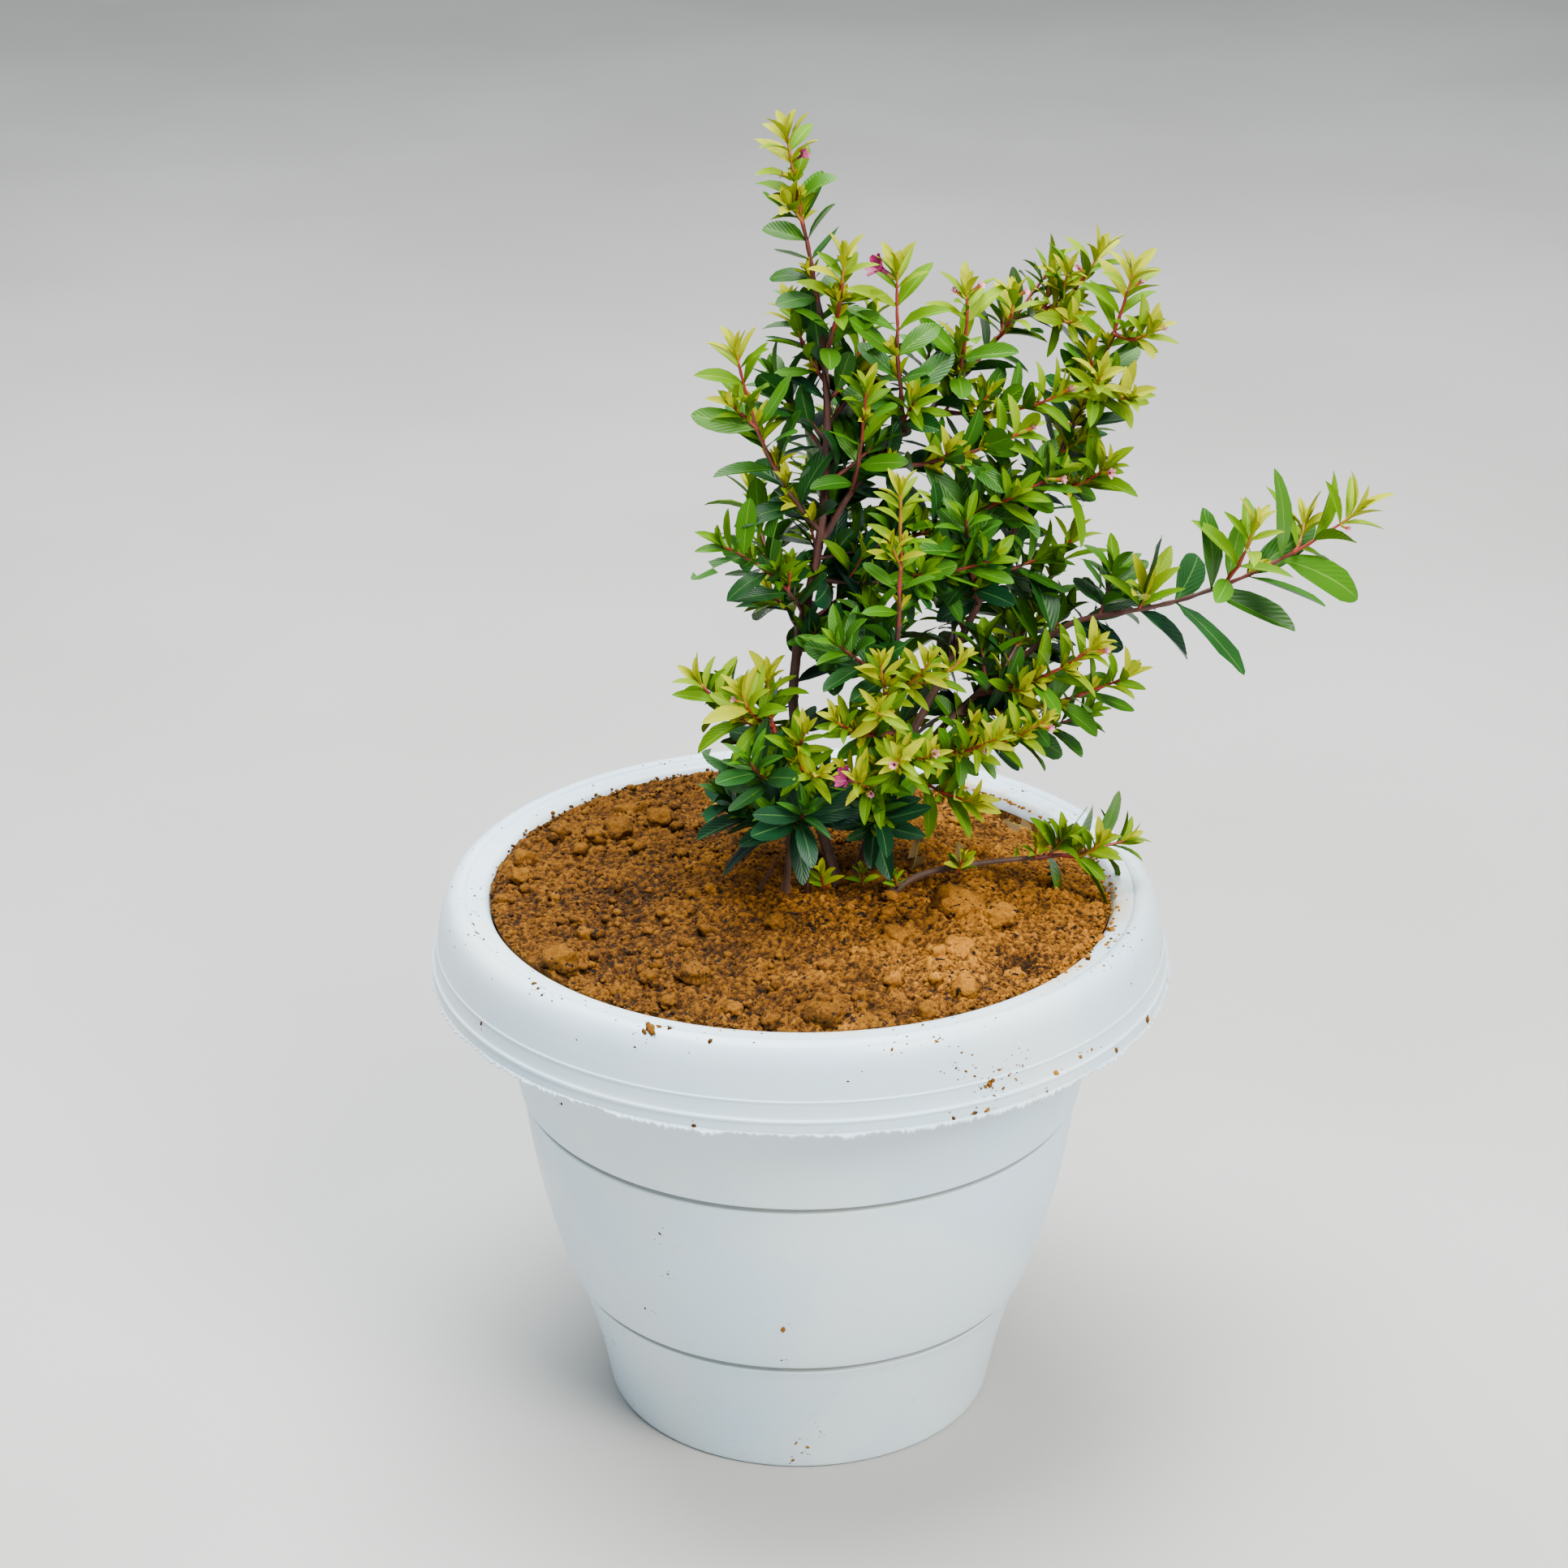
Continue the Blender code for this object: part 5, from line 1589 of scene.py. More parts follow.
@dataclass
class Twigs:
    """The thin twigs of shoots, side twigs and spurs, joined into one piece."""

    growth: Growth
    nodes: Sequence[str]
    rounding: int = 2  # bevel resolution, which gives eight sides
    swell: float = 0.14  # how much thicker a twig is at a leaf pair
    pairs: float = 6.0  # millimetres between the swellings
    step: float = 1.6  # millimetres between a twig's points

    @staticmethod
    def colour(left: float, youth: float) -> Bark:
        """The bark's colour by how much twig there is beyond."""
        stages = ((2.5, Bark.TENDER), (17.0, Bark.CRIMSON), (38.0, Bark.MAROON))
        return next((bark for limit, bark in stages if left - youth * 0.6 < limit), Bark.BROWN)

    def build(self) -> None:
        """Lay every twig as a curve, make it a mesh and dress it."""
        Bench.clear()
        curve = bpy.data.curves.new("twigs", "CURVE")
        curve.dimensions = "3D"
        curve.use_fill_caps = True
        curve.bevel_depth = MM
        curve.bevel_resolution = self.rounding
        for bark in Bark:
            recipe = Recipe(f"twig_{bark.name.lower()}", 0.5, WOOD[bark])
            recipe.set("Normal", recipe.bump(recipe.noise(recipe.place(), 700.0, 3.0), 0.4, 0.0002))
            curve.materials.append(recipe.material)
        for axis, youth in self.growth.twigs:
            self.lay(curve, axis, youth)
        piece = bpy.data.objects.new("twigs", curve)
        bpy.context.scene.collection.objects.link(piece)
        piece.select_set(True)
        bpy.context.view_layer.objects.active = piece
        bpy.ops.object.convert(target="MESH")
        bench = Bench(bpy.context.object)
        bench.pick_all()
        bpy.ops.mesh.remove_doubles(threshold=1e-6)
        bench.face_outwards()
        piece = bench.close()
        bpy.ops.object.shade_smooth_by_angle(angle=radians(50.0))
        settle(piece, self.nodes)

    def lay(self, curve: bpy.types.Curve, axis: Axis, youth: float) -> None:
        """Lay one twig as splines that meet, one for each colour of its bark.

        Args:
            curve: The curve that takes them.
            axis: The twig's axis.
            youth: How young it looks.
        """
        total = axis.length() / MM
        steps = max(2, round(total / self.step))
        rows: list[tuple[Bark, Vector, float]] = []
        for index in range(steps + 1):
            share = index / steps
            point, _, radius = axis.at(share)
            node = 1.0 + self.swell * cos(tau * share * total / self.pairs)
            rows.append((self.colour(total * (1.0 - share), youth), point, radius * node / MM))
        start = 0
        for index in range(1, len(rows)):
            if rows[index][0] is rows[start][0] and index < len(rows) - 1:
                continue
            spline = curve.splines.new("POLY")
            spline.material_index = rows[start][0].value
            stretch = rows[start:index + 1]
            spline.points.add(len(stretch) - 1)
            for knot, (_, point, radius) in zip(spline.points, stretch):
                knot.co = (*point, 1.0)
                knot.radius = radius
            start = index


@dataclass
class Stems:
    """The woody limbs with their bark's relief, each replacing its solid."""

    bones: Skeleton
    sides: int = 18
    step: float = 0.8  # millimetres between rings
    scars: float = 8.5  # millimetres between leaf scars
    ridge: float = 0.11  # heights of the relief, as shares of the radius
    fine: float = 0.05
    scar: float = 0.17
    flare: float = 0.75

    def radius(self, limb: Limb, at: float, total: float, turn: float, thick: float) -> float:
        """The limb's radius with ridges, leaf scars and a flare at its foot.

        Args:
            limb: The limb.
            at: Length from its foot in millimetres.
            total: Its whole length in millimetres.
            turn: The bearing about its axis.
            thick: The smooth radius.

        Returns:
            The radius in metres.
        """
        x, y = cos(turn), sin(turn)
        ridge = noise.noise(Vector((x * 2.2, y * 2.2, at * 0.16)) + Vector((total, 0, 0)))
        fine = noise.noise(Vector((x * 5.0, y * 5.0, at * 0.7 + 40.0)))
        scar = exp(-((at % self.scars - 4.2) / 0.7) ** 2)
        side = 0.5 + 0.5 * cos(2.0 * turn + round(at / self.scars) * pi)
        relief = self.ridge * ridge + self.fine * fine + self.scar * scar * side
        if not limb.parent:
            lobes = 0.8 + 0.35 * cos(3.0 * turn + total)
            relief += self.flare * exp(-max(0.0, at - 2.0) / 2.6) * lobes
        return thick * (1.0 + relief)

    def model(self, limb: Limb) -> Piece:
        """Model one limb: a disc extruded ring by ring along its axis.

        Args:
            limb: The limb.

        Returns:
            Its bark.
        """
        axis = self.bones.axes[limb.name]
        total = axis.length()
        rings = max(6, round(total / (self.step * MM)))
        Bench.clear()
        bpy.ops.mesh.primitive_circle_add(vertices=self.sides, radius=MM, fill_type="NGON")
        bench = Bench(bpy.context.object)
        bench.piece.name = bench.piece.data.name = limb.name + "_bark"
        bench.pick_all()
        middle, side, other = Vector(), Vector((1.0, 0.0, 0.0)), Vector((0.0, 1.0, 0.0))
        for ring in range(rings + 1):
            if ring:
                bpy.ops.mesh.extrude_region_move()
            point, along, thick = axis.at(ring / rings)
            across = squared(side, along)
            beyond = along.cross(across)

            def carry(place: Vector) -> Vector:
                """Where a point of the last ring goes on this one.

                Args:
                    place: The point.

                Returns:
                    Its new place.
                """
                off = place - middle
                corner = round(atan2(off.dot(other), off.dot(side)) / tau * self.sides)
                turn = corner * tau / self.sides
                reach = self.radius(limb, ring / rings * total / MM, total / MM, turn, thick)
                return point + (across * cos(turn) + beyond * sin(turn)) * reach

            bench.mould(carry)
            middle, side, other = point, across, beyond
        bench.face_outwards()
        return bench.close()

    def build(self) -> None:
        """Model and dress every limb."""
        bark = WoodyBark().material()
        for limb in LIMBS:
            piece = self.model(limb)
            bpy.ops.object.shade_smooth()
            piece.data.materials.append(bark)
            settle(piece, (limb.name,))


@dataclass(frozen=True)
class Flower:
    """How a trumpet flower is modelled: a tube and six crinkled petals, in millimetres."""

    tube: float = 4.8
    throat: float = 0.72
    petal: float = 3.4
    slim: float = 0.76
    tube_widths: tuple[float, ...] = (0.42, 0.78, 0.86, 0.74, 0.72, 1.0)  # foot to mouth, of the throat
    petal_widths: tuple[float, ...] = (0.14, 0.34, 0.62, 0.78, 0.72, 0.40)  # foot to tip, before slimming
    green: float = 0.62  # how far up the tube its green foot reaches

    def tube_shape(self) -> Shape:
        """Model the tube along +Z from a circle drawn up in steps: pinched and flared.

        Returns:
            The tube.
        """
        step = self.tube / (len(self.tube_widths) - 1)
        Bench.clear()
        bpy.ops.mesh.primitive_circle_add(vertices=12, radius=1.0, fill_type="NOTHING")
        bench = Bench(bpy.context.object)
        bench.pick_all()
        for _ in self.tube_widths[1:]:
            bpy.ops.mesh.extrude_region_move()
            bench.shift(0.0, 0.0, step)
        for index, wide in enumerate(self.tube_widths):
            bench.pick_row(2, step * index)
            bench.stretch(wide * self.throat, wide * self.throat, 1.0, (0.0, 0.0, step * index))
        bench.face_outwards()
        piece = bench.close()
        for face in piece.data.polygons:
            face.material_index = int(face.center.z >= self.tube * self.green)
        return Shape.taken_from(piece)

    def petal_shape(self) -> Shape:
        """Model one petal along +Y from a grid: narrow at its foot, broad and crinkled.

        Returns:
            The petal.
        """
        rows = len(self.petal_widths) - 1
        Bench.clear()
        bpy.ops.mesh.primitive_grid_add(x_subdivisions=4, y_subdivisions=rows, size=2.0)
        bench = Bench(bpy.context.object)
        for index, wide in enumerate(self.petal_widths):
            row = -1.0 + 2.0 * index / rows
            bench.pick_row(1, row)
            bench.stretch(wide * self.slim, 1.0, 1.0, (0.0, row, 0.0))
            bench.shift(0.0, 0.0, 0.08 * sin(index * 2.2))
        bench.pick(lambda place: abs(place.x) > 0.15)
        bench.shift(0.0, 0.0, 0.16)
        bench.pick_all()
        bench.shift(0.0, 1.0, 0.0)
        bench.stretch(self.petal * 0.5, self.petal * 0.5, self.petal * 0.5)
        piece = bench.close()
        for face in piece.data.polygons:
            face.material_index = 2
        return Shape.taken_from(piece)


@dataclass(frozen=True)
class Corolla:
    """One kind of flower: the tints of its tube, throat and petals, and how its petals open."""

    tube: Tint
    throat: Tint
    petal: Tint
    spread: float  # degrees from the tube's line
    reach: float  # of the petal's full length


COROLLAS = {
    Petal.MAGENTA: Corolla(Tint(116, 110, 16), Tint(112, 8, 60), Tint(150, 0, 86), 44.0, 0.98),
    Petal.BLUSH: Corolla(Tint(150, 152, 16), Tint(190, 104, 30), Tint(222, 140, 164), 52.0, 0.48),
}


@dataclass
class Blossom:
    """The flowers, joined into one piece for each colour."""

    growth: Growth
    nodes: Sequence[str]
    form: Flower = Flower()
    petals: int = 6

    def materials(self, petal: Petal) -> list[Material]:
        """The tube's, the throat's and the petals' materials.

        Args:
            petal: The flowers' colour.

        Returns:
            Three materials.
        """
        made = []
        for part in ("tube", "throat", "petal"):
            recipe = Recipe(f"{petal.name.lower()}_{part}", 0.5, getattr(COROLLAS[petal], part))
            recipe.set("Normal", recipe.bump(recipe.noise(recipe.place(), 1400.0), 0.5, 0.0002))
            made.append(recipe.material)
        return made

    def build(self) -> None:
        """Model and place the flowers of each colour."""
        tube, leaf = self.form.tube_shape(), self.form.petal_shape()
        for petal in Petal:
            heap = Heap()
            luck = Luck(SEED + 900 + petal.value)
            for bloom in BLOOMS:
                if bloom.petal is petal:
                    self.place(heap, tube, leaf, bloom, luck)
            settle(heap.join(f"flowers_{petal.name.lower()}", self.materials(petal)), self.nodes)

    def place(self, heap: Heap, tube: Shape, leaf: Shape, bloom: Bloom, luck: Luck) -> None:
        """Add one flower to the heap.

        Args:
            heap: Where it goes.
            tube: The modelled tube.
            leaf: The modelled petal.
            bloom: The table's row.
            luck: The run of chance.
        """
        point, along, thick = self.growth.bones.axes[bloom.shoot].at(bloom.leaves_at)
        facing = (Vector(bloom.facing).normalized() + along * 0.25).normalized()
        upright = facing.to_track_quat("Z", "Y").to_matrix()
        root = point + facing * thick

        def set_down(shape: Shape, turn: Matrix, lift: Vector) -> None:
            """Add one part, turned and lifted."""
            rows = [root + upright @ ((turn @ Vector(p) + lift) * (bloom.size * MM)) for p in shape.points]
            heap.add(shape, np.array([row[:] for row in rows])[None])

        set_down(tube, Matrix.Identity(3), Vector())
        kind = COROLLAS[bloom.petal]
        for index in range(self.petals):
            bearing = tau * index / self.petals
            turn = Matrix.Rotation(bearing + luck.uniform(-0.15, 0.15), 3, "Z")
            turn @= Matrix.Rotation(radians(kind.spread) + luck.uniform(-0.2, 0.2), 3, "X")
            foot = Matrix.Rotation(bearing, 3, "Z") @ Vector((0.0, self.form.throat * 0.55, 0.0))
            set_down(leaf, turn @ Matrix.Scale(kind.reach, 3), foot + UP * (self.form.tube - 0.15))


class Corner(NamedTuple):
    """A corner of a turned outline, in millimetres, and how far along each side it is rounded."""

    r: float
    z: float
    ease: float = 0.0


def eased(corners: Sequence[Corner], steps: int = 4) -> list[Span]:
    """An outline whose corners are rounded.

    Args:
        corners: The outline's corners.
        steps: How many pieces each rounding has.

    Returns:
        The (radius, height) points in millimetres.
    """
    line: list[Span] = []
    for index, corner in enumerate(corners):
        here = Vector((corner.r, corner.z))
        if corner.ease <= 0.0 or index in (0, len(corners) - 1):
            line.append((here.x, here.y))
            continue
        before, after = (Vector(corners[other][:2]) - here for other in (index - 1, index + 1))
        first = here + before.normalized() * min(corner.ease, before.length * 0.45)
        last = here + after.normalized() * min(corner.ease, after.length * 0.45)
        for step in range(steps + 1):
            place = drawn_curve(first, here, last, step / steps)
            line.append((place.x, place.y))
    return line


@dataclass(frozen=True)
class Band:
    """One band of the pot's wall: its edges in millimetres and how far it swells between."""

    low: Span  # radius and height of its foot
    high: Span  # radius and height of its top
    swell: float

    def radius(self, height: float) -> float:
        """Outer radius at a height."""
        share = (height - self.low[1]) / (self.high[1] - self.low[1])
        return self.low[0] + share * (self.high[0] - self.low[0]) + self.swell * 4.0 * share * (1.0 - share)

    def corners(self, top: float, foot: float, count: int) -> list[Corner]:
        """Points down the band from a top height to a foot height."""
        heights = [top + (foot - top) * index / count for index in range(count + 1)]
        return [Corner(self.radius(height), height) for height in heights]


@dataclass
class Pot:
    """The moulded pot: banded wall, rolled rim with its bead, and the rough moulding edge."""

    lower: Band = Band((57.2, 4.0), (66.5, 39.6), -0.9)
    middle: Band = Band((67.7, 40.4), (80.3, 98.7), 1.8)
    upper: Band = Band((81.3, 99.7), (88.2, 146.0), 0.3)
    wall: float = 1.6
    groove: float = 1.1  # depth of the groove under each step
    steps: int = 160  # of one turn of the pot
    fin_steps: int = 900  # of one turn of the fin
    fin_thick_side: float = radians(-38.0)
    # radius, height and rounding of each corner: over the rim, under its hem, and round the foot
    rim: tuple[Corner, ...] = (
        Corner(88.5, 157.2, 0.8), Corner(89.5, 158.5, 0.7), Corner(91.0, 158.9, 0.6),
        Corner(94.3, 158.85, 0.3), Corner(94.9, 159.5, 0.5), Corner(96.6, 160.0, 1.2),
        Corner(99.4, 158.6, 2.2), Corner(101.4, 154.9, 2.8), Corner(102.6, 149.5, 2.8),
        Corner(103.2, 145.5, 0.2), Corner(103.55, 145.3, 0.15), Corner(103.6, 144.8, 0.15),
        Corner(103.35, 144.6, 0.15), Corner(103.9, 141.4, 1.0), Corner(104.2, 140.6, 0.2),
        Corner(104.85, 140.2, 0.25), Corner(104.9, 139.6, 0.25), Corner(104.4, 139.2, 0.25),
        Corner(104.7, 137.0, 0.3), Corner(104.6, 136.6, 0.2),
    )
    hem: tuple[Corner, ...] = (
        Corner(103.3, 136.6, 0.2), Corner(102.9, 138.6, 0.4), Corner(101.8, 146.0, 2.0),
        Corner(100.3, 152.5, 2.0), Corner(97.0, 157.0, 2.0), Corner(90.6, 156.2, 1.0),
    )
    foot: tuple[Corner, ...] = (Corner(56.6, 0.7, 0.6), Corner(55.6, 0.0, 0.5), Corner(0.0, 0.0))

    def outline(self) -> list[Span]:
        """The whole section, from the floor inside, over the rim and down to the foot.

        Returns:
            The (radius, height) points in millimetres.
        """
        wall, cut = self.wall, self.groove
        inside = [Corner(0.0, 2.0), Corner(53.6, 2.0, 2.0), Corner(self.lower.radius(6.0) - wall, 6.0, 1.0),
                  Corner(64.9, 40.0, 1.0), Corner(self.middle.radius(62.0) - wall, 62.0, 3.0),
                  Corner(78.7, 98.0, 1.0), Corner(86.9, 146.0, 2.0), Corner(87.4, 154.0, 1.0)]
        bands = [*self.upper.corners(146.0, 101.6, 6),
                 Corner(81.3, 100.2, 0.5), Corner(80.6 - cut, 99.9, 0.2), Corner(80.2 - cut, 98.9, 0.3),
                 Corner(80.25, 97.9, 0.6), *self.middle.corners(96.6, 42.4, 14),
                 Corner(67.7, 40.9, 0.5), Corner(67.0 - cut, 40.6, 0.2), Corner(66.5 - cut, 39.6, 0.3),
                 Corner(66.45, 38.6, 0.6), *self.lower.corners(37.4, 4.0, 9)]
        return eased([*inside, *self.rim, *self.hem, *bands, *self.foot])

    def turned(self, name: str, outline: Sequence[Span]) -> Piece:
        """Spin an outline once round the pot's axis.

        Args:
            name: The piece's name.
            outline: The (radius, height) points in millimetres.

        Returns:
            The turned piece.
        """
        Bench.clear()
        edges = [(i, i + 1) for i in range(len(outline) - 1)]
        bench = Bench(new_piece(name, [(r * MM, 0.0, z * MM) for r, z in outline], edges=edges))
        bench.pick_all()
        bpy.ops.mesh.spin(steps=self.steps, angle=tau, center=(0.0, 0.0, 0.0), axis=(0.0, 0.0, 1.0))
        bench.pick_all()
        bpy.ops.mesh.remove_doubles(threshold=2e-6)
        bench.face_outwards()
        piece = bench.close()
        bpy.ops.object.shade_smooth_by_angle(angle=radians(38.0))
        return piece

    def moulding_edge(self) -> Piece:
        """The thin ragged fin that moulding left round the rim's lower edge.

        Returns:
            The fin.
        """
        count = self.fin_steps
        luck = Luck(SEED + 31)
        jag = [luck.random() for _ in range(count)]
        points, faces = [], []
        for index in range(count):
            bearing = tau * index / count
            x, y = cos(bearing), sin(bearing)
            wave = noise.fractal(Vector((x * 5.0, y * 5.0, 0.0)), 0.8, 2.1, 4)
            side = 0.5 + 0.5 * cos(bearing - self.fin_thick_side)
            out = max(0.08, 0.40 + 0.85 * wave + 0.70 * (jag[index] - 0.5) + 0.30 * side)
            drop = out * (0.55 + 0.5 * jag[(index * 7) % count])
            section = ((104.1, 137.0), (104.2, 136.45), (104.65 + out, 136.35 - drop),
                       (104.85 + out * 0.8, 136.8 - drop * 0.8))
            points += [(r * MM * x, r * MM * y, z * MM) for r, z in section]
            here, there = index * 4, (index + 1) % count * 4
            for corner, follow in ((0, 1), (1, 2), (2, 3), (3, 0)):
                faces.append((here + corner, here + follow, there + follow, there + corner))
        bench = Bench(new_piece("rim_fin", points, faces))
        bench.face_outwards()
        return bench.close()

    def build(self) -> Piece:
        """Model and dress the pot.

        Returns:
            The pot's body.
        """
        plastic = MouldedPlastic().material()
        body = self.turned("pot_body", self.outline())
        for piece in (body, self.moulding_edge()):
            piece.data.materials.append(plastic)
            settle(piece, ("pot",))
        return body


class Crumb(NamedTuple):
    """A crumb or clod of soil: its place and its size in millimetres, and its shade."""

    place: Vector
    size: float
    shade: float


@dataclass
class Ground:
    """The soil: its mound, its crumbs and clods, and what is spilt on the pot, in millimetres."""

    radius: float = 87.9
    edge: float = 157.9  # the height at the pot's lip
    top: float = 163.4  # the mound's height
    centre: Span = (10.0, -10.0)
    level: float = 0.25  # share of the mound that is level
    dip_bearing: float = radians(36.0)
    dip_depth: float = 7.0
    dip_spread: float = radians(34.0)
    hollow_at: Span = (12.0, -11.0)
    hollow_reach: Span = (9.0, 6.0)
    hollow_depth: float = 1.6
    clod_size: float = 7.0  # the relief's three sizes of grain, and how high each rises
    crumb_size: float = 2.3
    grit_size: float = 1.15
    clod_rise: float = 1.8
    crumb_rise: float = 1.15
    grit_rise: float = 0.50
    cells: int = 300  # of the soil's grid, each way
    crumbs: int = 2400
    lumps: int = 560
    spilt: int = 1500  # crumbs along the lip
    dust: int = 150  # crumbs on top of the rim
    fine_kinds: int = 3  # how many shapes there are of crumbs, and of lumps and of clods
    big_kinds: int = 4
    # radius and height of the soil's sides, from the lip down to the floor
    sides: tuple[Span, ...] = ((87.0, 154.2), (85.6, 141.0), (78.3, 98.6), (64.5, 40.4), (55.0, 6.4),
                               (52.5, 2.6))

    def mound(self, x: float, y: float) -> float:
        """The smooth height of the soil at a place.

        Args:
            x: Place across.
            y: Place in depth.

        Returns:
            The height.
        """
        share = min(1.0, hypot(x, y) / self.radius)
        pull = 1.0 - share
        near = min(1.0, hypot(x - self.centre[0] * pull, y - self.centre[1] * pull) / self.radius)
        rise = max(0.0, near - self.level) / (1.0 - self.level)
        height = self.edge + (self.top - self.edge) * (0.5 + 0.5 * cos(pi * rise))
        bearing = (atan2(y, x) - self.dip_bearing + pi) % tau - pi
        spread = exp(-((bearing / self.dip_spread) ** 2))
        sunk = self.dip_depth * spread * max(0.0, (share - 0.45) / 0.55) ** 1.5
        return height - sunk + self.heaped(x, y)

    def heaped(self, x: float, y: float) -> float:
        """How far the soil's lumps and hollows raise it at a place."""
        away = clip((hypot(x - self.centre[0], y - self.centre[1]) - 23.0) / 11.0)
        return away * sum(lump.rise * exp(-((x - lump.x) ** 2 + (y - lump.y) ** 2) / lump.reach ** 2)
                          for lump in LUMPS)

    @staticmethod
    def grains(place: Vector, size: float, layer: float, steep: float) -> float:
        """Rounded grains of one size: 1 on a grain's middle, 0 between grains."""
        distance = noise.voronoi(place / size + Vector((0.0, 0.0, layer)))[0][0]
        return max(0.0, 1.0 - (distance * steep) ** 2)

    def relief(self, x: float, y: float) -> Span:
        """The crumbly surface's height over the mound, and its painted shade and light.

        Args:
            x: Place across.
            y: Place in depth.

        Returns:
            The height and a painted shade from 0 in a pit to 1 on a crest.
        """
        here = Vector((x, y, 0.0))
        stray = (noise.noise(here / 2.2), noise.noise(here / 2.2 + Vector((7.0, 3.0, 0.0))), 0.0)
        warp = here + Vector(stray) * 0.9
        broad = noise.fractal(here / 24.0 + Vector((3.0, 0.0, 3.0)), 0.9, 2.0, 3)
        fine = noise.fractal(here / 1.3 + Vector((0.0, 0.0, 70.0)), 0.7, 2.1, 3)
        some = clip(0.35 + 1.8 * noise.noise(here / 15.0 + Vector((0.0, 0.0, 50.0))))
        clod = self.grains(warp, self.clod_size, 9.0, 1.35) * some
        crumb = self.grains(warp, self.crumb_size, 21.0, 1.25)
        grit = self.grains(warp, self.grit_size, 33.0, 1.2)
        calm = 0.4 + 0.6 * clip((self.radius - hypot(x, y)) / 3.0)
        rise = (0.6 * broad + self.clod_rise * clod + self.crumb_rise * crumb + self.grit_rise * grit
                + 0.60 * fine)
        # painted light on the grains' crests, painted shade between them
        shade = -0.06 + 0.36 * crumb + 0.36 * grit + 0.24 * clod + 0.42 * fine
        return rise * calm - 1.15, clip(shade)

    def hollow(self, x: float, y: float) -> float:
        """How far the soil sinks in the hollow at the stems' feet, which is also darkened there as painted
        shade.
        """
        parts = zip((x, y), self.hollow_at, self.hollow_reach)
        return self.hollow_depth * exp(-sum(((at - middle) / reach) ** 2 for at, middle, reach in parts))

    def height(self, x: float, y: float) -> float:
        """The finished height at a place."""
        return self.mound(x, y) + self.relief(x, y)[0] - self.hollow(x, y)

    def surface(self) -> Piece:
        """Model the soil: a fine grid drawn into a disc, raised, and closed down to the floor.

        Returns:
            The soil's body.
        """
        Bench.clear()
        bpy.ops.mesh.primitive_grid_add(x_subdivisions=self.cells, y_subdivisions=self.cells, size=2.0)
        piece = bpy.context.object
        piece.name = piece.data.name = "soil_bed"
        flat = np.zeros(len(piece.data.vertices) * 3)
        piece.data.vertices.foreach_get("co", flat)
        flat = flat.reshape(-1, 3)
        u, v = flat[:, 0].copy(), flat[:, 1].copy()
        flat[:, 0] = u * np.sqrt(1.0 - v * v / 2.0) * self.radius
        flat[:, 1] = v * np.sqrt(1.0 - u * u / 2.0) * self.radius
        shades = np.zeros(len(flat))
        for index, (x, y) in enumerate(flat[:, :2].tolist()):
            relief, shade = self.relief(x, y)
            flat[index, 2] = self.mound(x, y) + relief - self.hollow(x, y)
            # painted light on raised lumps, painted shade in hollows and in the hollow at the stems' feet
            heaped = self.heaped(x, y)
            shades[index] = clip(shade + heaped * (0.06 if heaped > 0.0 else 0.19) - 0.10 * self.hollow(x, y))
        piece.data.vertices.foreach_set("co", (flat * MM).ravel())
        bench = Bench(piece)
        bench.pick(lambda place: hypot(place.x, place.y) > (self.radius - 0.02) * MM)
        for radius, height in self.sides:
            bpy.ops.mesh.extrude_region_move()
            rise = UP * (height * MM)
            bench.mould(lambda place: (place.to_2d().normalized() * radius * MM).to_3d() + rise)
        bpy.ops.mesh.edge_face_add()
        bench.face_outwards()
        bench.close()
        bpy.ops.object.shade_smooth()
        attribute = piece.data.attributes.new("shade", "FLOAT", "POINT")
        values = np.full(len(piece.data.vertices), 0.2)
        values[:len(shades)] = shades
        attribute.data.foreach_set("value", values.astype(np.float32))
        piece.data.materials.append(Earth().material("soil_bed"))
        return piece

    @staticmethod
    def lump(detail: int, seed: float, flat: float) -> Shape:
        """Model one clod or crumb from an icosphere, one unit across.

        Args:
            detail: How finely it is cut.
            seed: What sets it apart from the others.
            flat: Its height, of its width.

        Returns:
            The shape.
        """
        Bench.clear()
        bpy.ops.mesh.primitive_ico_sphere_add(subdivisions=detail, radius=0.5)
        piece = bpy.context.object
        for vertex in piece.data.vertices:
            push = noise.fractal(vertex.co * 3.4 + Vector((seed, 0.0, 0.0)), 0.7, 2.1, 4)
            cut = noise.voronoi(vertex.co * 2.2 + Vector((0.0, seed, 0.0)))[0][0]
            vertex.co *= 0.92 + 0.42 * push + 0.22 * (0.5 - cut)
            vertex.co.z *= flat
        return Shape.taken_from(piece)

    def strew(self, rows: list[list[Crumb]], luck: Luck) -> None:
        """Loose crumbs all over the soil, and lumps, more of them to the left.

        Args:
            rows: Where the crumbs go, by kind.
            luck: The run of chance.
        """
        for index in range(self.crumbs + self.lumps):
            bearing = luck.uniform(0.0, tau)
            out = sqrt(luck.random()) * (self.radius - 1.5)
            x, y = out * cos(bearing), out * sin(bearing)
            big = index >= self.crumbs
            size = (luck.uniform(1.5, 2.8) * (1.0 + 1.2 * luck.random() ** 3) if big
                    else luck.uniform(0.6, 1.4))
            if hypot(x, y) + size * 0.5 > self.radius or (big and x > luck.uniform(-90.0, 60.0)):
                continue
            kind = (self.fine_kinds + luck.randrange(self.big_kinds) if big
                    else luck.randrange(self.fine_kinds))
            place = Vector((x, y, self.height(x, y) + size * 0.12))
            rows[kind].append(Crumb(place, size, luck.uniform(0.2, 0.6)))

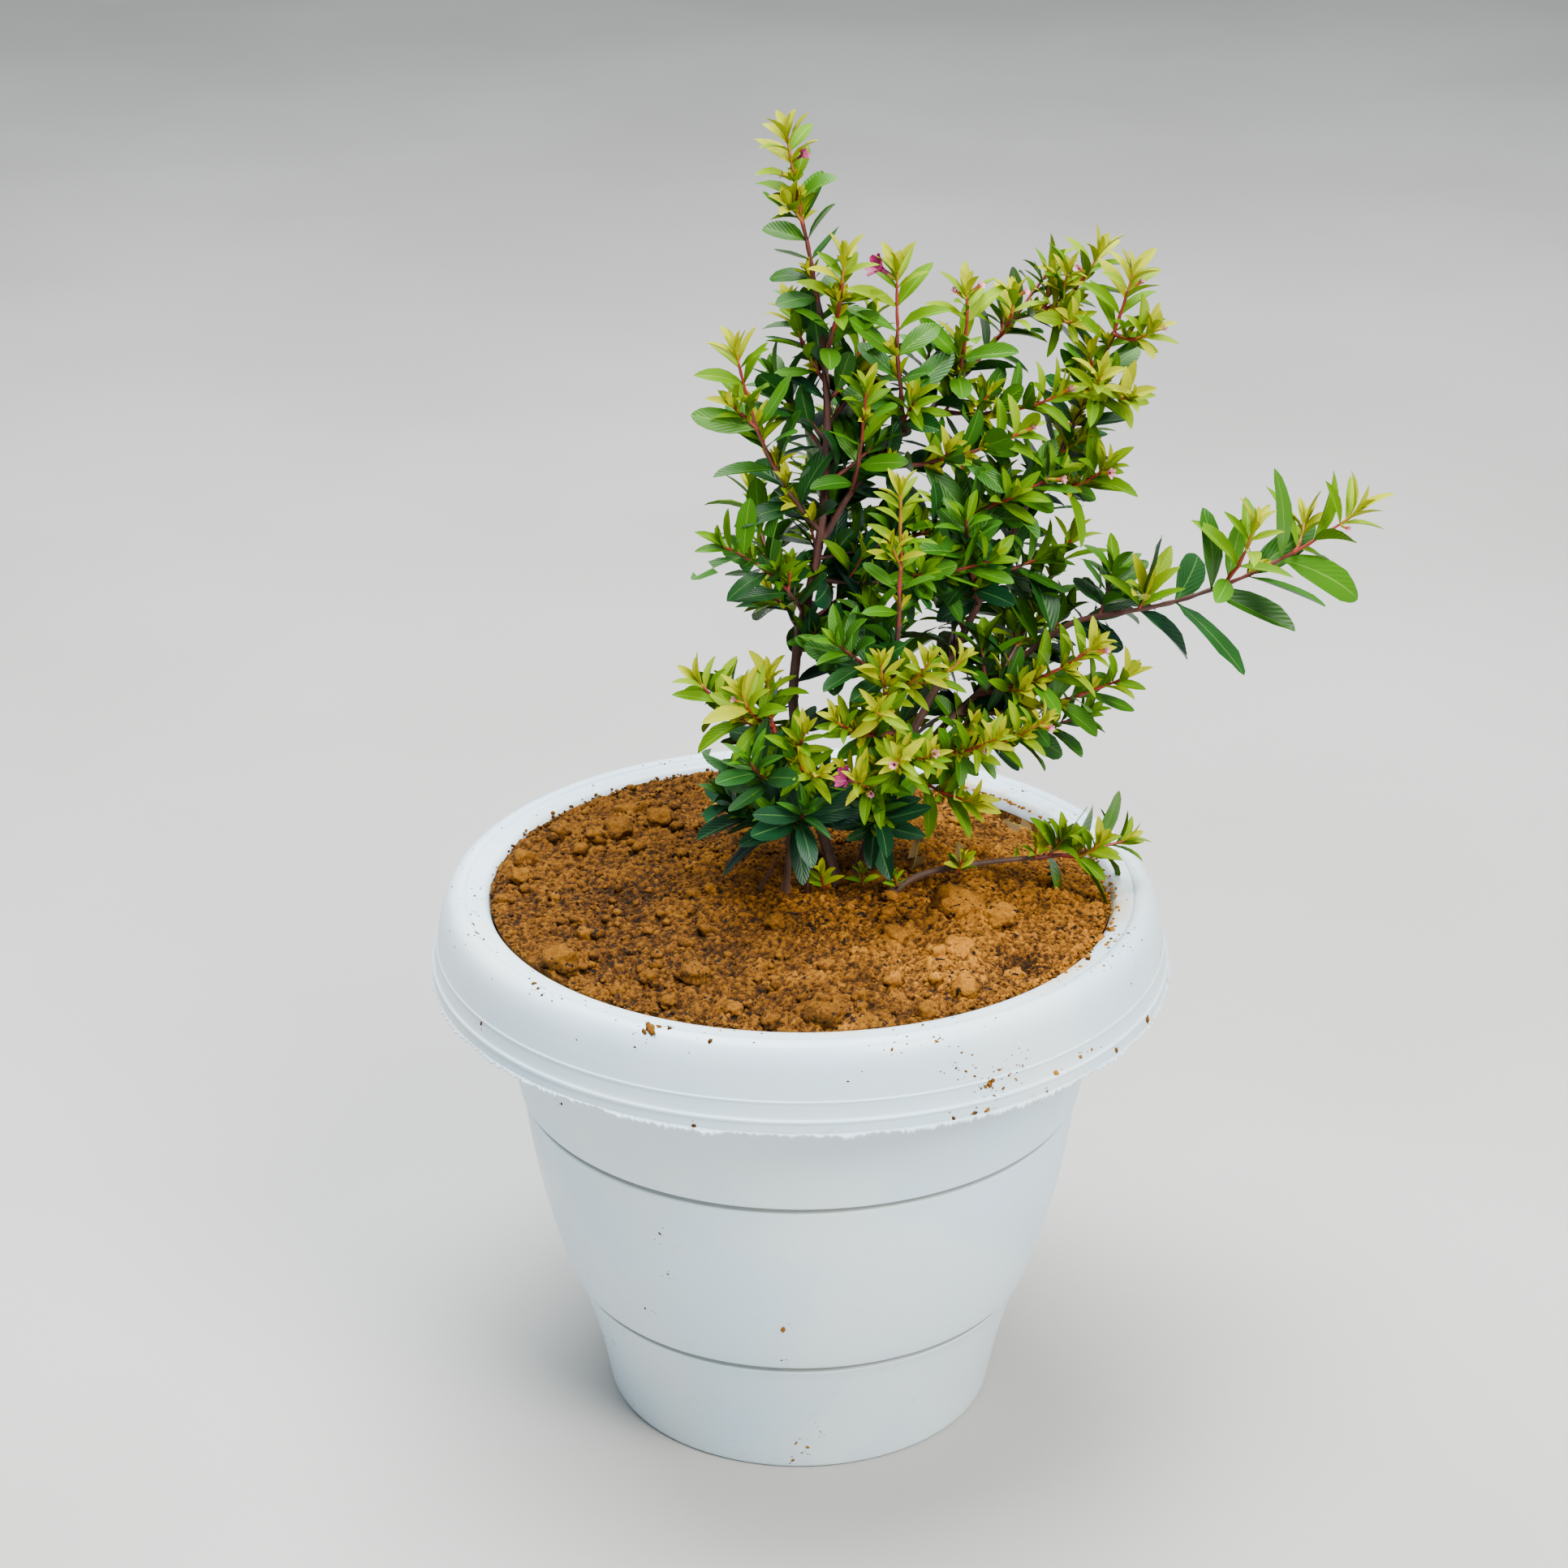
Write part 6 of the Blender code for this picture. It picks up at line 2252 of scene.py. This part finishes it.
    def spill(self, rows: list[list[Crumb]], luck: Luck) -> None:
        """Crumbs spilt along the pot's lip, most of them at the front right and some at the back left.

        Args:
            rows: Where the crumbs go, by kind.
            luck: The run of chance.
        """
        for _ in range(self.spilt):
            bearing = luck.uniform(-pi, pi)
            heaped = max(exp(-((bearing - radians(-26.0)) / 0.42) ** 2),
                         0.3 * exp(-((bearing - radians(146.0)) / 0.40) ** 2))
            if luck.random() > 0.45 + 0.55 * heaped:
                continue
            out = self.radius - 1.6 + luck.random() ** 3 * (1.6 + 4.6 * heaped)
            size = luck.uniform(0.6, 1.5) * (1.0 + 0.7 * heaped * luck.random())
            lip = self.edge + clip((out - 87.4) / 3.0) * 1.1
            place = Vector((out * cos(bearing), out * sin(bearing), lip + size * 0.05))
            if place.z > self.mound(place.x, place.y) - 0.8:
                kind = luck.randrange(self.fine_kinds)
                rows[kind].append(Crumb(place, size, luck.uniform(0.25, 0.8)))

    def lay_clods(self, rows: list[list[Crumb]], view: "Camera", luck: Luck) -> None:
        """The clods that the photograph shows, kept inside the pot's lip.

        Args:
            rows: Where the crumbs go, by kind.
            view: The camera.
            luck: The run of chance.
        """
        for px, py, size in CLODS:
            place = view.on_level(px, py, CLOD_LEVEL * MM) / MM
            place *= min(1.0, (self.radius - 0.55 * size) / place.to_2d().length)
            lift = 0.12 if size < 7.0 else (0.06 if size < 10.0 else -0.14)
            place.z = self.mound(place.x, place.y) + size * lift
            kind = self.fine_kinds + self.big_kinds + luck.randrange(self.big_kinds)
            rows[kind].append(Crumb(place, size * 1.1, luck.uniform(0.35, 0.6)))

    def scattered(self, view: "Camera") -> Piece:
        """The loose crumbs and clods on the soil and along the lip.

        Args:
            view: The camera, which says where the photograph's clods lie.

        Returns:
            The joined crumbs.
        """
        luck = Luck(SEED + 70)
        shapes = [self.lump(detail, seed, flat) for detail, seeds, flat in LUMP_KINDS for seed in seeds]
        rows: list[list[Crumb]] = [[] for _ in shapes]
        self.strew(rows, luck)
        self.spill(rows, luck)
        self.lay_clods(rows, view, luck)
        heap = Heap()
        for kind, crumbs in enumerate(rows):
            copies = self.turned(shapes[kind], crumbs, luck)
            # the lumps and clods get painted light on their tops and painted shade beneath
            lit = 0.0 if kind < self.fine_kinds else 0.30
            heap.add(shapes[kind], copies, [crumb.shade for crumb in crumbs], lit)
        return heap.join("soil_crumbs", [Earth().material("soil_crumbs")])

    @staticmethod
    def turned(shape: Shape, crumbs: Sequence[Crumb], luck: Luck) -> np.ndarray:
        """Copies of a lump, each sized and turned by chance.

        Args:
            shape: The lump.
            crumbs: What each copy is.
            luck: The run of chance.

        Returns:
            The copies' points in metres.
        """
        copies = []
        for place, size, _ in crumbs:
            spin = Matrix.Rotation(luck.uniform(0, tau), 3, "Z")
            turn = np.array(spin @ Matrix.Rotation(luck.uniform(-0.5, 0.5), 3, "X"))
            stretch = np.array([luck.uniform(0.85, 1.2), luck.uniform(0.85, 1.15), luck.uniform(0.8, 1.1)])
            copies.append((shape.points * stretch * size @ turn.T + np.array(place)) * MM)
        return np.array(copies)

    def on_pot(self, view: "Camera", body: Piece) -> Piece:
        """The crumbs that lie or stick on the pot where the photograph shows them.

        Args:
            view: The camera.
            body: The pot's body, which carries them.

        Returns:
            The joined crumbs.
        """
        tree = BVHTree.FromPolygons([vertex.co for vertex in body.data.vertices],
                                    [face.vertices[:] for face in body.data.polygons])
        luck = Luck(SEED + 71)
        shape = self.lump(2, 4.0, 0.8)
        copies: list[np.ndarray] = []
        shades: list[float] = []

        def stick(place: Vector, tilt: Matrix, flat: Point, size: float, darkest: float) -> None:
            """Set one crumb down.

            Args:
                place: Where it lies, in metres.
                tilt: How it is turned.
                flat: Its proportions.
                size: Its size in millimetres.
                darkest: The least that its shade may be.
            """
            sizes = np.array(flat) * size * MM
            copies.append(shape.points * sizes @ np.array(tilt).T + np.array(place))
            shades.append(luck.uniform(darkest, 0.75))

        def tilted(normal: Vector) -> Matrix:
            """The turn that lays a crumb on a slope."""
            return normal.to_track_quat("Z", "Y").to_matrix()

        for px, py, size in CRUMBS:
            place, normal, _, _ = tree.ray_cast(*view.ray(px, py))
            if place is None:
                continue
            turn = tilted(normal) @ Matrix.Rotation(luck.uniform(0, tau), 3, "Z")
            flat = (luck.uniform(0.9, 1.5), luck.uniform(0.7, 1.0), 0.45)
            stick(place + normal * size * 0.08 * MM, turn, flat, size, 0.25)
            for _ in range(luck.randint(2, 6)):
                off = Vector((luck.gauss(0.0, 1.8), luck.gauss(0.0, 1.8), 0.0)) * MM
                near, way, _, _ = tree.find_nearest(place + turn @ off)
                stick(near, tilted(way), (1.2, 0.8, 0.5), luck.uniform(0.25, 0.6), 0.2)
        for _ in range(self.dust):
            bearing = luck.uniform(0.0, tau)
            out = luck.choice((luck.uniform(90.5, 96.0), luck.uniform(96.0, 103.0))) * MM
            above = Vector((out * cos(bearing), out * sin(bearing), 0.2))
            place, normal, _, _ = tree.ray_cast(above, -UP)
            stick(place, tilted(normal), (1.0, 0.8, 0.5), luck.uniform(0.35, 0.8), 0.2)
        heap = Heap()
        heap.add(shape, np.array(copies), shades)
        return heap.join("pot_crumbs", [Earth().material("pot_crumbs")])

    def build(self, view: "Camera", body: Piece) -> None:
        """Model and dress the soil and its crumbs.

        Args:
            view: The camera.
            body: The pot's body.
        """
        settle(self.surface(), ("soil",))
        settle(self.scattered(view))
        settle(self.on_pot(view, body))


@dataclass
class Camera:
    """The photograph's camera, fitted to the pot."""

    lens: float = 80.0  # millimetres
    sensor: float = 36.0
    place: Point = (-0.0046, -0.895, 0.582)
    pitch: float = radians(23.66)

    def build(self) -> None:
        """Set up the camera."""
        data = bpy.data.cameras.new("camera")
        data.lens, data.sensor_width = self.lens, self.sensor
        data.clip_start, data.clip_end = 0.05, 50.0
        camera = bpy.data.objects.new("camera", data)
        camera.location = self.place
        camera.rotation_euler = (pi / 2.0 - self.pitch, 0.0, 0.0)
        bpy.context.scene.collection.objects.link(camera)
        bpy.context.scene.camera = camera

    def ray(self, px: float, py: float) -> tuple[Vector, Vector]:
        """The line of sight through a pixel of the photograph.

        Args:
            px: Pixels across from the left.
            py: Pixels down from the top.

        Returns:
            Its start and its direction.
        """
        scale = self.sensor / self.lens / PICTURE
        right, down = (px - PICTURE / 2.0) * scale, (py - PICTURE / 2.0) * scale
        ahead = Vector((0.0, cos(self.pitch), -sin(self.pitch)))
        up = Vector((0.0, sin(self.pitch), cos(self.pitch)))
        return Vector(self.place), (ahead + Vector((1.0, 0.0, 0.0)) * right - up * down).normalized()

    def on_level(self, px: float, py: float, height: float) -> Vector:
        """The place at a height that a pixel shows."""
        start, way = self.ray(px, py)
        return start + way * ((height - start.z) / way.z)


@dataclass(frozen=True)
class Lamp:
    """A square soft light: where it stands and aims, in metres, its side, its watts and its colour."""

    name: str
    place: Point
    aim: Point
    side: float
    power: float
    colour: Point

    def build(self) -> None:
        """Set up the light."""
        data = bpy.data.lights.new(self.name, "AREA")
        data.size, data.energy, data.color = self.side, self.power, self.colour
        lamp = bpy.data.objects.new(self.name, data)
        lamp.location = self.place
        lamp.rotation_euler = (Vector(self.aim) - Vector(self.place)).to_track_quat("-Z", "Y").to_euler()
        bpy.context.scene.collection.objects.link(lamp)


@dataclass
class Studio:
    """The plain floor, the pale surround and the soft lights."""

    floor: Tint = Tint(172, 170, 166)
    surround: float = 0.36
    sky: tuple[float, ...] = (0.76, 0.89, 1.0, 1.0)
    lamps: tuple[Lamp, ...] = (
        Lamp("key", (0.85, -1.05, 1.50), (0.02, 0.0, 0.16), 0.8, 62.0, (1.0, 0.97, 0.91)),
        Lamp("fill", (0.35, -1.60, 0.95), (0.0, 0.0, 0.24), 1.0, 7.0, (0.86, 0.94, 1.0)),
        Lamp("top", (-0.10, 0.20, 1.60), (0.0, 0.0, 0.2), 1.2, 92.0, (0.94, 0.97, 1.0)),
    )

    def build(self) -> None:
        """Make the floor, the lights and the pale surround."""
        Bench.clear()
        bpy.ops.mesh.primitive_plane_add(size=12.0, location=(0.0, 2.0, 0.0))
        floor = bpy.context.object
        floor.name = "floor"
        recipe = Recipe("floor", 0.85)
        cloud = recipe.between(recipe.noise(recipe.place(), 3.0, 3.0), 0.3, 0.7)
        recipe.set("Base Color", recipe.mix(cloud, self.floor, self.floor.toward(WHITE, 0.12)))
        floor.data.materials.append(recipe.material)
        world = bpy.data.worlds.new("surround")
        world.use_nodes = True
        backdrop = world.node_tree.nodes["Background"]
        backdrop.inputs["Color"].default_value = self.sky
        backdrop.inputs["Strength"].default_value = self.surround
        bpy.context.scene.world = world
        for lamp in self.lamps:
            lamp.build()


def main() -> None:
    """Build the studio, the pot, the soil and the shrub."""
    logging.basicConfig(level=logging.INFO, format="%(name)s %(message)s")
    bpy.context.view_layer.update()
    masses = [name for name in frame["nodes"] if name.startswith("foliage_")]
    view = Camera()
    view.build()
    Studio().build()
    body = Pot().build()
    Ground().build(view, body)
    bones = Skeleton()
    Stems(bones).build()
    growth = Growth(bones)
    growth.grow_all()
    log.info("%d leaves, %d twigs", len(growth.leaves), len(growth.twigs))
    Twigs(growth, masses).build()
    Foliage(growth, masses).build()
    Blossom(growth, masses).build()
    bpy.context.view_layer.update()


if __name__ == "__main__":
    main()
